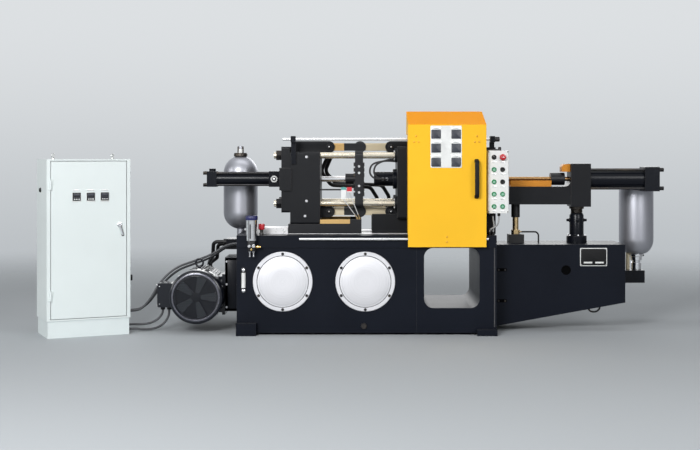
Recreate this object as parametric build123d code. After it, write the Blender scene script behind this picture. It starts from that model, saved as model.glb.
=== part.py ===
from build123d import *
import os
from math import acos, atan2, cos, pi, sin, sqrt, tan

os.makedirs("parts", exist_ok=True)

# Clearances
fit_gap = 0.3
run_gap = 0.5

# Bed: welded oil tank at the left, die bay with a through window at the right
bed_length = 1560
bed_width = 700
bed_top = 597
bed_underside = 12
tank_length = 1080
band_height = 74
band_depth = 6
window_left_margin = 45
window_right_margin = 102
window_bottom = 162
window_height = 360
window_radius = 55
drop_margin = 58
drop_width = 400

# Feet with anchor holes
foot_length = 120
foot_depth = 50
foot_height_left = 75
foot_height_right = 38
anchor_radius = 11

# Round tank covers and level gauge on the front wall
cover_radius = 179
cover_thickness = 12
cover_ring_radius = 141
cover_ring_height = 4
cover_left_x = -503
cover_right_x = -8
cover_z = 321
gauge_x = -738
gauge_z = 329
gauge_height = 154
gauge_width = 26
gauge_depth = 18
gauge_radius = 8

# Injection bed behind the fixed platen, with a rising underside
tail_length = 810
tail_width = 350
tail_top = 530
tail_bottom_near = 27
tail_bottom_far = 174

# Machine axis and tie bars
axis_z = 930
tie_radius = 20
tie_pitch = 296
tie_nut_radius = 34
tie_nut_length = 34
tie_end = 14

# Platens
platen_width = 424
slideway_height = 3
slideway_inner = 110
slideway_left = -480
slideway_right = 330
way_block_length = 150
way_block_height = 41
rear_face = -283
rear_thickness = 183
rear_bottom = 658
rear_height = 440
rear_plate_thickness = 54
rear_plate_bottom = 728
rear_plate_height = 403
rear_shoe_reach = 253
rear_shoe_height = 86
rear_shoe_rail = 42
platen_x = 190
platen_thickness = 110
platen_bottom = 690
platen_height = 441
platen_shoe_length = 155
platen_shoe_height = 116
platen_shoe_width = 47
platen_shoe_inner = 115
fixed_x = 640
fixed_thickness = 150
fixed_height = 531
edge_radius = 12
rear_pad_width = 74
rear_pad_height = 140
rear_pad_reach = 10
rear_pad_radius = 16

# Toggle linkage: two equal links on each side, straight when clamped
toggle_rear_x = -231
toggle_front_x = 154
toggle_spread = 400
link_lane = 80
link_thickness = 28
link_eye_radius = 36
link_waist = 46
pin_radius = 16
lug_thickness = 13
lug_gap = 3
lug_radius = 36
pin_head = 3
tongue_share = 0.36
knee_gap = 2

# Crosshead, its short links and the clamp cylinder
crosshead_x = -45
crosshead_thickness = 50
crosshead_bar_height = 70
crosshead_side_width = 60
crosshead_trim = 1
crosshead_hub_radius = 34
short_link_lane = 55
short_link_thickness = 14
short_link_eye_radius = 25
short_link_waist = 30
short_pin_radius = 12
short_pin_z = 80
short_lug_inner = 28
clamp_stroke = 140
hub_length = 60
hub_recess_radius = 40
hub_recess_gap = 6
clamp_rod_radius = 18
clamp_barrel_radius = 42
clamp_bore_radius = 31.5
clamp_barrel_length = 327
clamp_front_cap = 66
clamp_rear_cap = 61
clamp_cap_side = 98
clamp_flange = 21
clamp_flange_side = 140
port_radius = 21
port_length = 16
clamp_piston_length = 40
tie_rod_radius = 7
tie_rod_share = 0.38
rod_nut_radius = 12
rod_nut_length = 23

# Ejector cylinder on the back of the moving platen
ejector_radius = 45
ejector_length = 119
ejector_flange_radius = 62
ejector_flange_length = 22

# Sliding guard hood
hood_left = 247
hood_width = 468
hood_overhang = 40
hood_bottom = 530
hood_headroom = 131
hood_rise = 87
hood_depth = 275
hood_sheet = 3
hood_side_depth = 115
hood_side_bottom = 606
hood_rim = 22
hood_shoulder_drop = 57
handle_x = 656
handle_z = 938
handle_length = 229
handle_width = 30
handle_reach = 44
handle_thickness = 16
handle_radius = 6

# Guard rails
rail_y = -250
rail_drop = 86
rail_radius = 8
rail_left = -510
rail_right = 810
rail_bracket_width = 30
hanger_distance = 88
hanger_wheel_radius = 20
hanger_wheel_width = 14
hanger_plate = 5
bracket_reach = 14
rail_bracket_left_x = -445
rail_bracket_right_x = 765
rail_bracket_left_drop = 151
rail_bracket_right_drop = 156
rail_lug = 19
low_rail_right = 730
low_rail_radius = 7
low_rail_z = 577
low_rail_left = -403
low_rail_standoff = 9
low_rail_stub_radius = 5
low_rail_stubs = 5

# Push-button box
panel_left = 727
panel_width = 129
panel_bottom = 730
panel_height = 377
panel_front = -340
panel_depth = 90
panel_radius = 8
button_radius = 15
button_reach = 12
button_pitch_x = 51
button_pitch_z = 74
button_rows = 5
stop_radius = 20
stop_reach = 26
panel_arm_height = 150
panel_arm_z = 830

# Injection end
arm_bottom = 772
arm_height = 111
arm_width = 140
arm_length = 484
block_length = 124
block_bottom = 758
block_height = 268
block_width = 152
arm_fillet = 40
shot_barrel_radius = 62
shot_bore_radius = 50
shot_barrel_length = 336
shot_cap_length = 92
shot_cap_side = 152
shot_rod_radius = 14
shot_nut_length = 27
shot_tie_rod_radius = 8
shot_nut_radius = 14
sleeve_radius = 40
sleeve_bore_radius = 25
sleeve_reach = 100
pour_length = 45
pour_width = 34
tip_length = 40
coupling_radius = 39
coupling_length = 88
coupling_gap = 31
plunger_rod_radius = 14
plunger_tip_x = 845
pour_gap = 5
shot_piston_length = 35
shot_piston_gap = 9
tray_left = 900
tray_width = 114
tray_lip = 38
tray_sheet = 2
coupling_guard_length = 52
coupling_guard_width = 84
coupling_guard_height = 48
coupling_guard_radius = 24
coupling_guard_gap = 6

# Screw jack under the injection block
jack_radius = 42
jack_screw_radius = 26
jack_collar_radius = 64
jack_collar_height = 46
jack_pin_radius = 9
jack_pin_length = 128
jack_pin_z = 672
jack_offset = 47
jack_flange_radius = 46
jack_flange_height = 14

# Gas bottles
bottle_radius = 109.5
shot_bottle_x = 1740
bottle_y = 200
shot_bottle_bottom = 439
shot_bottle_height = 465
shot_neck_radius = 38
shot_valve_length = 185
shot_valve_bottom = 266
shot_valve_height = 79
shot_valve_width = 180
clamp_bottle_x = -806
clamp_bottle_bottom = 604
clamp_bottle_height = 471
clamp_neck_radius = 24
manifold_bottom = 480
manifold_height = 65
manifold_length = 110
manifold_width = 180
gas_valve_radius = 17
gas_valve_height = 62
gas_collar_radius = 34
gas_collar_height = 18

# Pump motor beside the tank, shaft along y
motor_x = -1029
motor_z = 223
motor_radius = 150
fin_height = 9
fin_width = 4
fin_pitch = 15
fin_root = 1
fin_limit = 0.8
motor_front = -330
cowl_radius = 163.5
cowl_length = 130
cowl_sheet = 3
cowl_flange = 10
cowl_lip = 5
grille_radius = 134
grille_hub = 20
grille_rings = 7
grille_spokes = 6
grille_bar = 5
motor_length = 330
end_bell_length = 60
foot_pad_thickness = 18
foot_pad_height = 250
bracket_bottom = 120
bracket_height = 330
bracket_length = 260
bracket_depth = 89
bracket_plate = 16
terminal_width = 93
terminal_height = 149
terminal_depth = 110
terminal_bottom = 145
terminal_y = -130
terminal_gap = 2
bell_radius = 110
bell_length = 120
pump_radius = 62
pump_length = 170
pump_port_y = (372, 440)
pump_port_height = 8
motor_pad = 70
foot_web = 20
foot_web_offset = 100
eye_bolt_radius = 23
eye_bolt_wire = 6
eye_bolt_shank = 10
eye_bolt_y = -140

# Hydraulic pipes
pipe_radius = 12
pipe_nut_radius = 19
pipe_nut_length = 20
clip_left = -340
clip_right = -205
clip_bottom = 1062
clip_height = 22
clip_reach = 84
clamp_pipe_y = (240, 276)
clamp_pipe_ends = (75, 150)
clamp_pipe_bend = 45
pump_pipe_bend = 30
shot_pipe_x = 938
shot_pipe_radius = 27
shot_pipe_length = 82
ferrule_radius = 19
shot_nut_height = 28
shot_base_side = 96
shot_base_height = 54
thin_pipe_radius = 5
thin_pipe_reach = 144
thin_pipe_bend = 25

# Limit switches beside the crosshead, on a bar from the rear platen
switch_y = -196
switch_bar_z = 868
switch_bar_radius = 5
switch_width = 30
switch_depth = 24
switch_left_x = -140
switch_left_height = 73
switch_right_x = -104
switch_right_height = 31
switch_wire_radius = 2.5
switch_wire_ends = (-56, -42)
switch_gland_radius = 6
switch_gland_height = 14

# Lubricator on the front left corner
oiler_x = -686
oiler_bowl_bottom = 566
oiler_bowl_radius = 34
oiler_bowl_height = 126
oiler_cap_height = 26
oiler_cap_radius = 37
oiler_block_height = 60
oiler_block_side = 46
knob_x = -632
knob_setback = 20
knob_radius = 20
knob_height = 36
knob_post_radius = 12
knob_post_height = 34

# Electric cabinet, standing apart and turned towards the front
cabinet_x = -1714
cabinet_y = -279.5
cabinet_turn = 25
cabinet_width = 500
cabinet_depth = 300
cabinet_height = 955
plinth_height = 100
plinth_inset = 6
cabinet_sheet = 2
cabinet_frame = 22
cabinet_frame_end = 10
door_gap = 3
door_depth = 18
hinge_radius = 7
hinge_length = 60
hinge_inset = 150
lock_width = 26
lock_height = 100
lock_reach = 14
lock_z = 635
lock_inset = 40
lock_radius = 8
hinge_leaf = 18
hinge_pin_radius = 3
timer_side = 48
timer_reach = 8
timer_pitch = 84
timer_x = 9
timer_z = 833
back_plate_thickness = 3
back_plate_margin = 40
back_plate_standoff = 25

# Cables
cable_diameter = 14
panel_cable_diameter = 9
panel_gland_radius = 9
gland_radius = 14
gland_length = 18
gland_spread = 39
bend_share = 0.45

# Places worked out from the sizes above
bed_left = -bed_length / 2
bed_right = bed_length / 2
bed_front = -bed_width / 2
bed_back = bed_width / 2
hood_front = bed_front - hood_overhang
hood_eave = platen_bottom + platen_height + hood_headroom
hood_crest = hood_eave + hood_rise
hood_shoulder = hood_eave - hood_shoulder_drop
rail_z = hood_eave - rail_drop
bay_left = bed_left + tank_length
window_left = bay_left + window_left_margin
window_right = bed_right - window_right_margin
knob_y = bed_front + knob_setback
band_front = bed_front - band_depth
slideway_top = bed_top + slideway_height
half_platen = platen_width / 2
half_tie = tie_pitch / 2
tie_places = [(y, axis_z + z) for y in (-half_tie, half_tie) for z in (-half_tie, half_tie)]
rear_back = rear_face - rear_thickness
rear_outside = rear_back - rear_plate_thickness
fixed_right = fixed_x + fixed_thickness
link_length = (toggle_front_x - toggle_rear_x) / 2
knee_x = toggle_rear_x + link_length
toggle_levels = {"upper": axis_z + toggle_spread / 2, "lower": axis_z - toggle_spread / 2}
arm_right = fixed_right + arm_length
block_right = arm_right + block_length
coupling_right = arm_right - coupling_gap
coupling_left = coupling_right - coupling_length
jack_x = arm_right + jack_offset
shot_cap_x = block_right + shot_barrel_length
clamp_front_x = rear_outside - clamp_flange
clamp_barrel_right = clamp_front_x - clamp_front_cap
clamp_barrel_left = clamp_barrel_right - clamp_barrel_length
tail_right = bed_right + tail_length
cabinet_place = Pos(cabinet_x, cabinet_y, 0) * Rot(0, 0, cabinet_turn)
nodes = {}


# Solids between two corners, and rods along each axis
def block(x0, x1, y0, y1, z0, z1):
    centre = Pos((x0 + x1) / 2, (y0 + y1) / 2, (z0 + z1) / 2)
    return centre * Box(x1 - x0, y1 - y0, z1 - z0)


def rod_x(radius, x0, x1, y, z):
    return Pos((x0 + x1) / 2, y, z) * Rot(0, 90, 0) * Cylinder(radius, x1 - x0)


def rod_y(radius, x, y0, y1, z):
    return Pos(x, (y0 + y1) / 2, z) * Rot(90, 0, 0) * Cylinder(radius, y1 - y0)


def rod_z(radius, x, y, z0, z1):
    return Pos(x, y, (z0 + z1) / 2) * Cylinder(radius, z1 - z0)


# A profile drawn in x and z, given thickness along y
def slab_xz(profile, y0, y1):
    return Plane((0, y1, 0), x_dir=(1, 0, 0), z_dir=(0, -1, 0)) * extrude(profile, y1 - y0)


# A profile drawn in y and z, given thickness along x
def slab_yz(profile, x0, x1):
    return Plane((x0, 0, 0), x_dir=(0, 1, 0), z_dir=(1, 0, 0)) * extrude(profile, x1 - x0)


def outline(*points):
    return make_face(Polyline(*points, close=True))


def square_rod_places(side):
    offset = side * tie_rod_share
    return [(y, axis_z + z) for y in (-offset, offset) for z in (-offset, offset)]


def hex_x(radius, x0, x1, y, z):
    return Pos(0, y, z) * slab_yz(RegularPolygon(radius, 6), x0, x1)


# Welded bed
def oil_tank():
    body = block(bed_left, bay_left, bed_front, bed_back, bed_underside, bed_top)
    band = block(bed_left, bay_left, band_front, bed_front, bed_top - band_height, bed_top)
    return body + band


def die_bay():
    body = block(bay_left, bed_right, bed_front, bed_back, bed_underside, bed_top)
    body += block(bay_left, bed_right, band_front, bed_front, bed_top - band_height, bed_top)
    window = Pos((window_left + window_right) / 2, window_bottom + window_height / 2)
    window *= RectangleRounded(window_right - window_left, window_height, window_radius)
    body -= slab_xz(window, band_front, bed_back)
    drop = block(window_left, window_right - drop_margin, -drop_width / 2, drop_width / 2,
                 window_bottom + window_height / 2, bed_top)
    return body - drop


def injection_bed():
    profile = outline((bed_right, tail_bottom_near), (tail_right, tail_bottom_far),
                      (tail_right, tail_top), (bed_right, tail_top))
    return slab_xz(profile, -tail_width / 2, tail_width / 2)


def bed_feet():
    feet = []
    for side in (-1, 1):
        for front in (-1, 1):
            height = foot_height_left if side < 0 else foot_height_right
            x = side * (bed_length - foot_length) / 2
            y = front * (bed_width + foot_depth) / 2
            foot = block(x - foot_length / 2, x + foot_length / 2,
                         y - foot_depth / 2, y + foot_depth / 2, 0, height)
            feet.append(foot - rod_z(anchor_radius, x, y, 0, height))
    return feet


def tank_cover(x):
    plate = rod_y(cover_radius, x, bed_front - cover_thickness, bed_front, cover_z)
    ring = rod_y(cover_ring_radius, x, bed_front - cover_thickness - cover_ring_height,
                 bed_front - cover_thickness, cover_z)
    return plate + ring


def level_gauge():
    low = gauge_z - gauge_height / 2
    high = gauge_z + gauge_height / 2
    body = block(gauge_x - gauge_width / 2, gauge_x + gauge_width / 2,
                 bed_front - gauge_depth, bed_front, low, high)
    return fillet(body.edges().filter_by(Axis.Y), gauge_radius)


def slideways():
    strips = []
    for side in (-1, 1):
        near = side * slideway_inner
        far = side * half_platen
        strips.append(block(slideway_left, slideway_right, min(near, far), max(near, far),
                            bed_top, slideway_top))
    strips.append(block(slideway_left - way_block_length, slideway_left, -half_platen, -slideway_inner,
                        bed_top, bed_top + way_block_height))
    return strips


nodes["oil_tank"] = oil_tank()
nodes["die_bay"] = die_bay()
nodes["injection_bed"] = injection_bed()
nodes["bed_feet"] = bed_feet()
nodes["tank_covers"] = [tank_cover(cover_left_x), tank_cover(cover_right_x)]
nodes["level_gauge"] = level_gauge()
nodes["slideways"] = slideways()


# Tie bars and the platens they join
def tie_bars():
    left = rear_outside - tie_nut_length - tie_end
    right = fixed_right + tie_nut_length + tie_end
    return [rod_x(tie_radius, left, right, y, z) for y, z in tie_places]


def tie_bar_nuts():
    nuts = []
    for y, z in tie_places:
        for x in (rear_outside - tie_nut_length, fixed_right):
            nut = hex_x(tie_nut_radius, x, x + tie_nut_length, y, z)
            nuts.append(nut - rod_x(tie_radius + fit_gap, x, x + tie_nut_length, y, z))
    return nuts


def bored_for_ties(body, x0, x1, clearance):
    for y, z in tie_places:
        body -= rod_x(tie_radius + clearance, x0, x1, y, z)
    return body


# Four ears on each toggle pin line, one pair for each lane
def toggle_lugs(pin_x, face_x, level):
    lugs = []
    inner = link_lane - link_thickness / 2 - lug_gap - lug_thickness
    outer = link_lane + link_thickness / 2 + lug_gap
    root = Pos((pin_x + face_x) / 2, level) * Rectangle(abs(face_x - pin_x), 2 * lug_radius)
    ear = root + Pos(pin_x, level) * Circle(lug_radius)
    for start in (inner, outer):
        for side in (-1, 1):
            ends = sorted((side * start, side * (start + lug_thickness)))
            lugs.append(slab_xz(ear, *ends))
    return lugs


def toggle_pins(pin_x, level):
    pins = []
    reach = link_thickness / 2 + lug_gap + lug_thickness + pin_head
    for side in (-1, 1):
        pins.append(rod_y(pin_radius, pin_x, side * link_lane - reach,
                          side * link_lane + reach, level))
    return pins


def rear_platen():
    body = block(rear_back, rear_face, -half_platen, half_platen, rear_bottom,
                 rear_bottom + rear_height)
    body = fillet(body.edges().filter_by(Axis.X), edge_radius)
    plate = block(rear_outside, rear_back, -half_platen, half_platen, rear_plate_bottom,
                  rear_plate_bottom + rear_plate_height)
    body += fillet(plate.edges().filter_by(Axis.X), edge_radius)
    pad = Pos((rear_outside + rear_back) / 2, axis_z)
    pad *= RectangleRounded(rear_pad_width, rear_pad_height, rear_pad_radius)
    body += slab_xz(pad, -half_platen - rear_pad_reach, -half_platen)
    for level in toggle_levels.values():
        rib_low = level - lug_radius
        for side in (-1, 1):
            reach = link_thickness / 2 + lug_gap + lug_thickness
            body += block(rear_back, rear_face, side * link_lane - reach, side * link_lane + reach,
                          rib_low, rib_low + 2 * lug_radius)
        for piece in toggle_lugs(toggle_rear_x, rear_face, level) + toggle_pins(toggle_rear_x, level):
            body += piece
    body = bored_for_ties(body, rear_outside, toggle_rear_x, fit_gap)
    return body - rod_x(clamp_rod_radius + run_gap, rear_outside, rear_face, 0, axis_z)


def rear_shoe():
    base = block(rear_back - edge_radius, rear_face, -half_platen, half_platen,
                 slideway_top, rear_bottom)
    rails = []
    for side in (-1, 1):
        ends = sorted((side * half_platen, side * (half_platen - rear_shoe_rail)))
        rails.append(block(rear_face, rear_face + rear_shoe_reach, *ends, slideway_top,
                           slideway_top + rear_shoe_height))
    return base + rails[0] + rails[1]


def fixed_platen():
    body = block(fixed_x, fixed_right, -half_platen, half_platen, bed_top, bed_top + fixed_height)
    body = fillet(body.edges().filter_by(Axis.X), edge_radius)
    body = bored_for_ties(body, fixed_x, fixed_right, fit_gap)
    return body - rod_x(sleeve_radius + fit_gap, fixed_x, fixed_right, 0, axis_z)


def moving_platen():
    right = platen_x + platen_thickness
    body = block(platen_x, right, -half_platen, half_platen, platen_bottom,
                 platen_bottom + platen_height)
    body = fillet(body.edges().filter_by(Axis.X), edge_radius)
    for side in (-1, 1):
        ends = sorted((side * platen_shoe_inner, side * (platen_shoe_inner + platen_shoe_width)))
        shoe_bottom = slideway_top + fit_gap
        body += block(platen_x - platen_shoe_length, right, *ends, shoe_bottom,
                      shoe_bottom + platen_shoe_height)
    for level in toggle_levels.values():
        for side in (-1, 1):
            reach = link_thickness / 2 + lug_gap + lug_thickness
            body += block(platen_x, right, side * link_lane - reach, side * link_lane + reach,
                          level - lug_radius, level + lug_radius)
        for piece in toggle_lugs(toggle_front_x, platen_x, level) + toggle_pins(toggle_front_x, level):
            body += piece
    return bored_for_ties(body, platen_x - platen_shoe_length, right, run_gap)


def ejector_cylinder():
    flange_left = platen_x - ejector_flange_length
    body = rod_x(ejector_flange_radius, flange_left, platen_x, 0, axis_z)
    return body + rod_x(ejector_radius, flange_left - ejector_length, flange_left, 0, axis_z)


nodes["tie_bars"] = tie_bars()
nodes["tie_bar_nuts"] = tie_bar_nuts()
nodes["rear_platen"] = rear_platen()
nodes["rear_platen_shoe"] = rear_shoe()
nodes["fixed_platen"] = fixed_platen()
nodes["moving_platen"] = moving_platen()
nodes["ejector_cylinder"] = ejector_cylinder()


# Toggle links: the rear link is forked at the knee and carries the knee pin,
# the front link has a tongue there
def bar_with_eyes(start, end, eye, waist):
    length = sqrt((end[0] - start[0]) ** 2 + (end[1] - start[1]) ** 2)
    turn = atan2(end[1] - start[1], end[0] - start[0]) * 180 / pi
    middle = Pos((start[0] + end[0]) / 2, (start[1] + end[1]) / 2) * Rot(0, 0, turn)
    bar = middle * Rectangle(length, waist)
    return bar + Pos(*start) * Circle(eye) + Pos(*end) * Circle(eye)


def lane_sides(lane, thickness):
    return [(side * lane - thickness / 2, side * lane + thickness / 2) for side in (-1, 1)]


tongue_thickness = link_thickness * tongue_share
knee_relief = link_eye_radius + knee_gap


def rear_link(level):
    profile = bar_with_eyes((toggle_rear_x, level), (knee_x, level), link_eye_radius, link_waist)
    profile -= Pos(toggle_rear_x, level) * Circle(pin_radius + run_gap)
    solids = []
    for y0, y1 in lane_sides(link_lane, link_thickness):
        middle = (y0 + y1) / 2
        half_slot = tongue_thickness / 2 + run_gap
        link = slab_xz(profile, y0, y1)
        link -= rod_y(knee_relief, knee_x, middle - half_slot, middle + half_slot, level)
        solids.append(link + rod_y(pin_radius, knee_x, y0, y1, level))
    return solids


def front_link(level):
    profile = bar_with_eyes((knee_x, level), (toggle_front_x, level), link_eye_radius, link_waist)
    profile -= Pos(knee_x, level) * Circle(pin_radius + run_gap)
    profile -= Pos(toggle_front_x, level) * Circle(pin_radius + run_gap)
    solids = []
    for y0, y1 in lane_sides(link_lane, link_thickness):
        middle = (y0 + y1) / 2
        link = slab_xz(profile, y0, y1)
        link -= rod_y(knee_relief, knee_x, y0, middle - tongue_thickness / 2, level)
        link -= rod_y(knee_relief, knee_x, middle + tongue_thickness / 2, y1, level)
        solids.append(link)
    return solids


def short_link(side):
    low = (knee_x, axis_z + side * short_pin_z)
    high = (knee_x, axis_z + side * toggle_spread / 2)
    profile = bar_with_eyes(low, high, short_link_eye_radius, short_link_waist)
    profile -= Pos(*low) * Circle(short_pin_radius + run_gap)
    profile -= Pos(*high) * Circle(pin_radius + run_gap)
    return [slab_xz(profile, *ends) for ends in lane_sides(short_link_lane, short_link_thickness)]


# Travel of the crosshead when the platen makes its full stroke
fold_angle = acos(1 - clamp_stroke / (2 * link_length))
short_link_length = toggle_spread / 2 - short_pin_z
knee_drop = link_length * sin(fold_angle)
knee_back = link_length * (1 - cos(fold_angle))
short_rise = toggle_spread / 2 - knee_drop - short_pin_z
crosshead_travel = knee_back + sqrt(short_link_length ** 2 - short_rise ** 2)
crosshead_left = crosshead_x - crosshead_thickness / 2
crosshead_right = crosshead_x + crosshead_thickness / 2
hub_recess_depth = crosshead_travel + hub_length + hub_recess_gap - (crosshead_left - rear_face)
print("toggle fold", fold_angle * 180 / pi, "crosshead travel", crosshead_travel)
print("short link turn", 90 - atan2(short_rise, crosshead_travel - knee_back) * 180 / pi)


def crosshead():
    side_profile = RectangleRounded(crosshead_side_width, tie_pitch + crosshead_side_width - crosshead_trim,
                                    crosshead_side_width / 2 - crosshead_trim)
    body = block(crosshead_left, crosshead_right, -half_tie, half_tie,
                 axis_z - crosshead_bar_height / 2, axis_z + crosshead_bar_height / 2)
    for side in (-1, 1):
        body += Pos(0, side * half_tie, axis_z) * slab_yz(side_profile, crosshead_left, crosshead_right)
    body = bored_for_ties(body, crosshead_left, crosshead_right, run_gap)
    body += rod_x(crosshead_hub_radius, crosshead_left - hub_length, crosshead_left, 0, axis_z)
    lug_outer = short_link_lane - short_link_thickness / 2 - lug_gap + crosshead_trim
    pin_end = short_link_lane + short_link_thickness / 2 + crosshead_trim
    for level in (axis_z - short_pin_z, axis_z + short_pin_z):
        ear = Pos(knee_x, level) * Circle(short_link_eye_radius)
        ear += Pos(knee_x, (axis_z + level) / 2) * Rectangle(2 * short_link_eye_radius, short_pin_z)
        for side in (-1, 1):
            ends = sorted((side * short_lug_inner, side * lug_outer))
            body += slab_xz(ear, *ends)
            ends = sorted((side * short_lug_inner, side * pin_end))
            body += rod_y(short_pin_radius, knee_x, *ends, level)
    return body


def clamp_rod():
    piston_right = clamp_barrel_right - hub_recess_gap
    left = piston_right - clamp_piston_length
    rod = rod_x(clamp_rod_radius, left, crosshead_left - hub_length, 0, axis_z)
    return rod + rod_x(clamp_bore_radius - run_gap, left, piston_right, 0, axis_z)


def clamp_cylinder_caps():
    half = clamp_cap_side / 2
    flange_half = clamp_flange_side / 2
    front = block(clamp_barrel_right, clamp_front_x, -half, half, axis_z - half, axis_z + half)
    front += block(clamp_front_x, rear_outside, -flange_half, flange_half,
                   axis_z - flange_half, axis_z + flange_half)
    port_x = (clamp_barrel_right + clamp_front_x) / 2
    front += rod_y(port_radius, port_x, -half - port_length, -half, axis_z)
    front -= rod_x(clamp_rod_radius + run_gap, clamp_barrel_right, rear_outside, 0, axis_z)
    rear_left = clamp_barrel_left - clamp_rear_cap
    rear = block(rear_left, clamp_barrel_left, -half, half, axis_z - half, axis_z + half)
    rear += rod_z(port_radius, (rear_left + clamp_barrel_left) / 2, 0, axis_z + half,
                  axis_z + half + port_length)
    return [front, rear]


def clamp_cylinder_barrel():
    tube = rod_x(clamp_barrel_radius, clamp_barrel_left, clamp_barrel_right, 0, axis_z)
    return tube - rod_x(clamp_bore_radius, clamp_barrel_left, clamp_barrel_right, 0, axis_z)


def cylinder_tie_rods():
    rods = []
    for y, z in square_rod_places(clamp_cap_side):
        rods.append(rod_x(tie_rod_radius, clamp_barrel_left, clamp_barrel_right, y, z))
        cap_left = clamp_barrel_left - clamp_rear_cap
        rods.append(hex_x(rod_nut_radius, cap_left - rod_nut_length, cap_left, y, z))
    for y, z in square_rod_places(shot_cap_side):
        rods.append(rod_x(shot_tie_rod_radius, block_right, shot_cap_x, y, z))
        cap_right = shot_cap_x + shot_cap_length
        rods.append(hex_x(shot_nut_radius, cap_right, cap_right + shot_nut_length, y, z))
    return rods


for name, level in toggle_levels.items():
    nodes[name + "_rear_link"] = rear_link(level)
    nodes[name + "_front_link"] = front_link(level)
nodes["upper_short_link"] = short_link(1)
nodes["lower_short_link"] = short_link(-1)
nodes["crosshead"] = crosshead() + clamp_rod()
nodes["cylinder_tie_rods"] = cylinder_tie_rods()
recess = rod_x(hub_recess_radius, rear_face - hub_recess_depth, rear_face, 0, axis_z)
nodes["rear_platen"] -= recess

# Guard hood: folded sheet, open at the back and below
hood_right = hood_left + hood_width
hood_back = hood_front + hood_depth
roof_slope = (hood_crest - hood_eave) / hood_depth


def roof_underside(y):
    return hood_eave + (y - hood_front) * roof_slope - hood_sheet * sqrt(1 + roof_slope ** 2)


def guard_hood():
    front = block(hood_left, hood_right, hood_front, hood_front + hood_sheet, hood_bottom, hood_eave)
    roof = outline((hood_front, hood_eave - hood_sheet), (hood_front, hood_eave),
                   (hood_back, hood_crest), (hood_back, hood_crest - hood_rim),
                   (hood_back - hood_sheet, hood_crest - hood_rim),
                   (hood_back - hood_sheet, roof_underside(hood_back - hood_sheet)),
                   (hood_front + hood_sheet, roof_underside(hood_front + hood_sheet)))
    body = front + slab_yz(roof, hood_left, hood_right)
    side_back = hood_front + hood_side_depth
    cheek = outline((hood_front, hood_side_bottom), (side_back, hood_side_bottom),
                    (side_back, hood_shoulder), (hood_back, hood_shoulder),
                    (hood_back, hood_crest), (hood_front, hood_eave))
    body += slab_yz(cheek, hood_left, hood_left + hood_sheet)
    return body + slab_yz(cheek, hood_right - hood_sheet, hood_right)


def guard_handle():
    reach = hood_front - handle_reach
    half = handle_length / 2
    grip = block(handle_x - handle_width / 2, handle_x + handle_width / 2, reach,
                 reach + handle_thickness, handle_z - half, handle_z + half)
    grip = fillet(grip.edges().filter_by(Axis.Z), handle_radius)
    for end in (-1, 1):
        z = handle_z + end * (half - handle_width / 2)
        stub = block(handle_x - handle_width / 2, handle_x + handle_width / 2, reach + handle_thickness / 2,
                     hood_front, z - handle_width / 2, z + handle_width / 2)
        grip += stub
    return grip


def guard_hangers():
    hangers = []
    wheel_z = rail_z + rail_radius + hanger_wheel_radius + fit_gap
    plate_front = rail_y + hanger_wheel_width / 2
    for x in (hood_left + hanger_distance, hood_right - hanger_distance):
        hanger = rod_y(hanger_wheel_radius, x, rail_y - hanger_wheel_width / 2, plate_front, wheel_z)
        hanger += block(x - hanger_wheel_radius, x + hanger_wheel_radius, plate_front,
                        plate_front + hanger_plate, wheel_z - hanger_wheel_radius / 2,
                        roof_underside(plate_front) - fit_gap)
        hangers.append(hanger)
    return hangers


def rail_bracket(x, bottom):
    left = x - rail_bracket_width / 2
    right = x + rail_bracket_width / 2
    top = rail_z + rail_lug
    foot = block(left, right, -half_platen - bracket_reach, -half_platen, bottom, top)
    lug = block(left, right, rail_y - rail_lug, -half_platen - bracket_reach,
                rail_z - rail_lug, top)
    return foot + lug - rod_x(rail_radius + fit_gap, left, right, rail_y, rail_z)


def guard_bottom_rail():
    y = band_front - low_rail_standoff - low_rail_radius
    rail = rod_x(low_rail_radius, low_rail_left, low_rail_right, y, low_rail_z)
    for index in range(low_rail_stubs):
        x = low_rail_left + (low_rail_right - low_rail_left) * (index + 0.5) / low_rail_stubs
        rail += rod_y(low_rail_stub_radius, x, y, band_front, low_rail_z)
    return rail


nodes["guard_hood"] = guard_hood()
nodes["guard_handle"] = guard_handle()
nodes["guard_hangers"] = guard_hangers()
nodes["rail_brackets"] = [rail_bracket(rail_bracket_left_x, rail_z - rail_bracket_left_drop),
                          rail_bracket(rail_bracket_right_x, rail_z - rail_bracket_right_drop)]
nodes["guard_rails"] = [rod_x(rail_radius, rail_left, rail_right, rail_y, rail_z), guard_bottom_rail()]


# Push-button box on an arm from the fixed platen
def control_panel():
    body = block(panel_left, panel_left + panel_width, panel_front, panel_front + panel_depth,
                 panel_bottom, panel_bottom + panel_height)
    body = fillet(body.edges().filter_by(Axis.Z), panel_radius)
    arm_low = panel_arm_z - panel_arm_height / 2
    return body + block(panel_left, fixed_right, panel_front + panel_depth, -half_platen,
                        arm_low, arm_low + panel_arm_height)


def push_buttons():
    buttons = []
    middle_x = panel_left + panel_width / 2
    middle_z = panel_bottom + panel_height / 2
    for row in range(button_rows):
        for column in (-0.5, 0.5):
            x = middle_x + column * button_pitch_x
            z = middle_z + ((button_rows - 1) / 2 - row) * button_pitch_z
            is_stop = row == 0 and column > 0
            radius = stop_radius if is_stop else button_radius
            reach = stop_reach if is_stop else button_reach
            buttons.append(rod_y(radius, x, panel_front - reach, panel_front, z))
    return buttons


nodes["control_panel"] = control_panel()
nodes["push_buttons"] = push_buttons()


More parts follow.
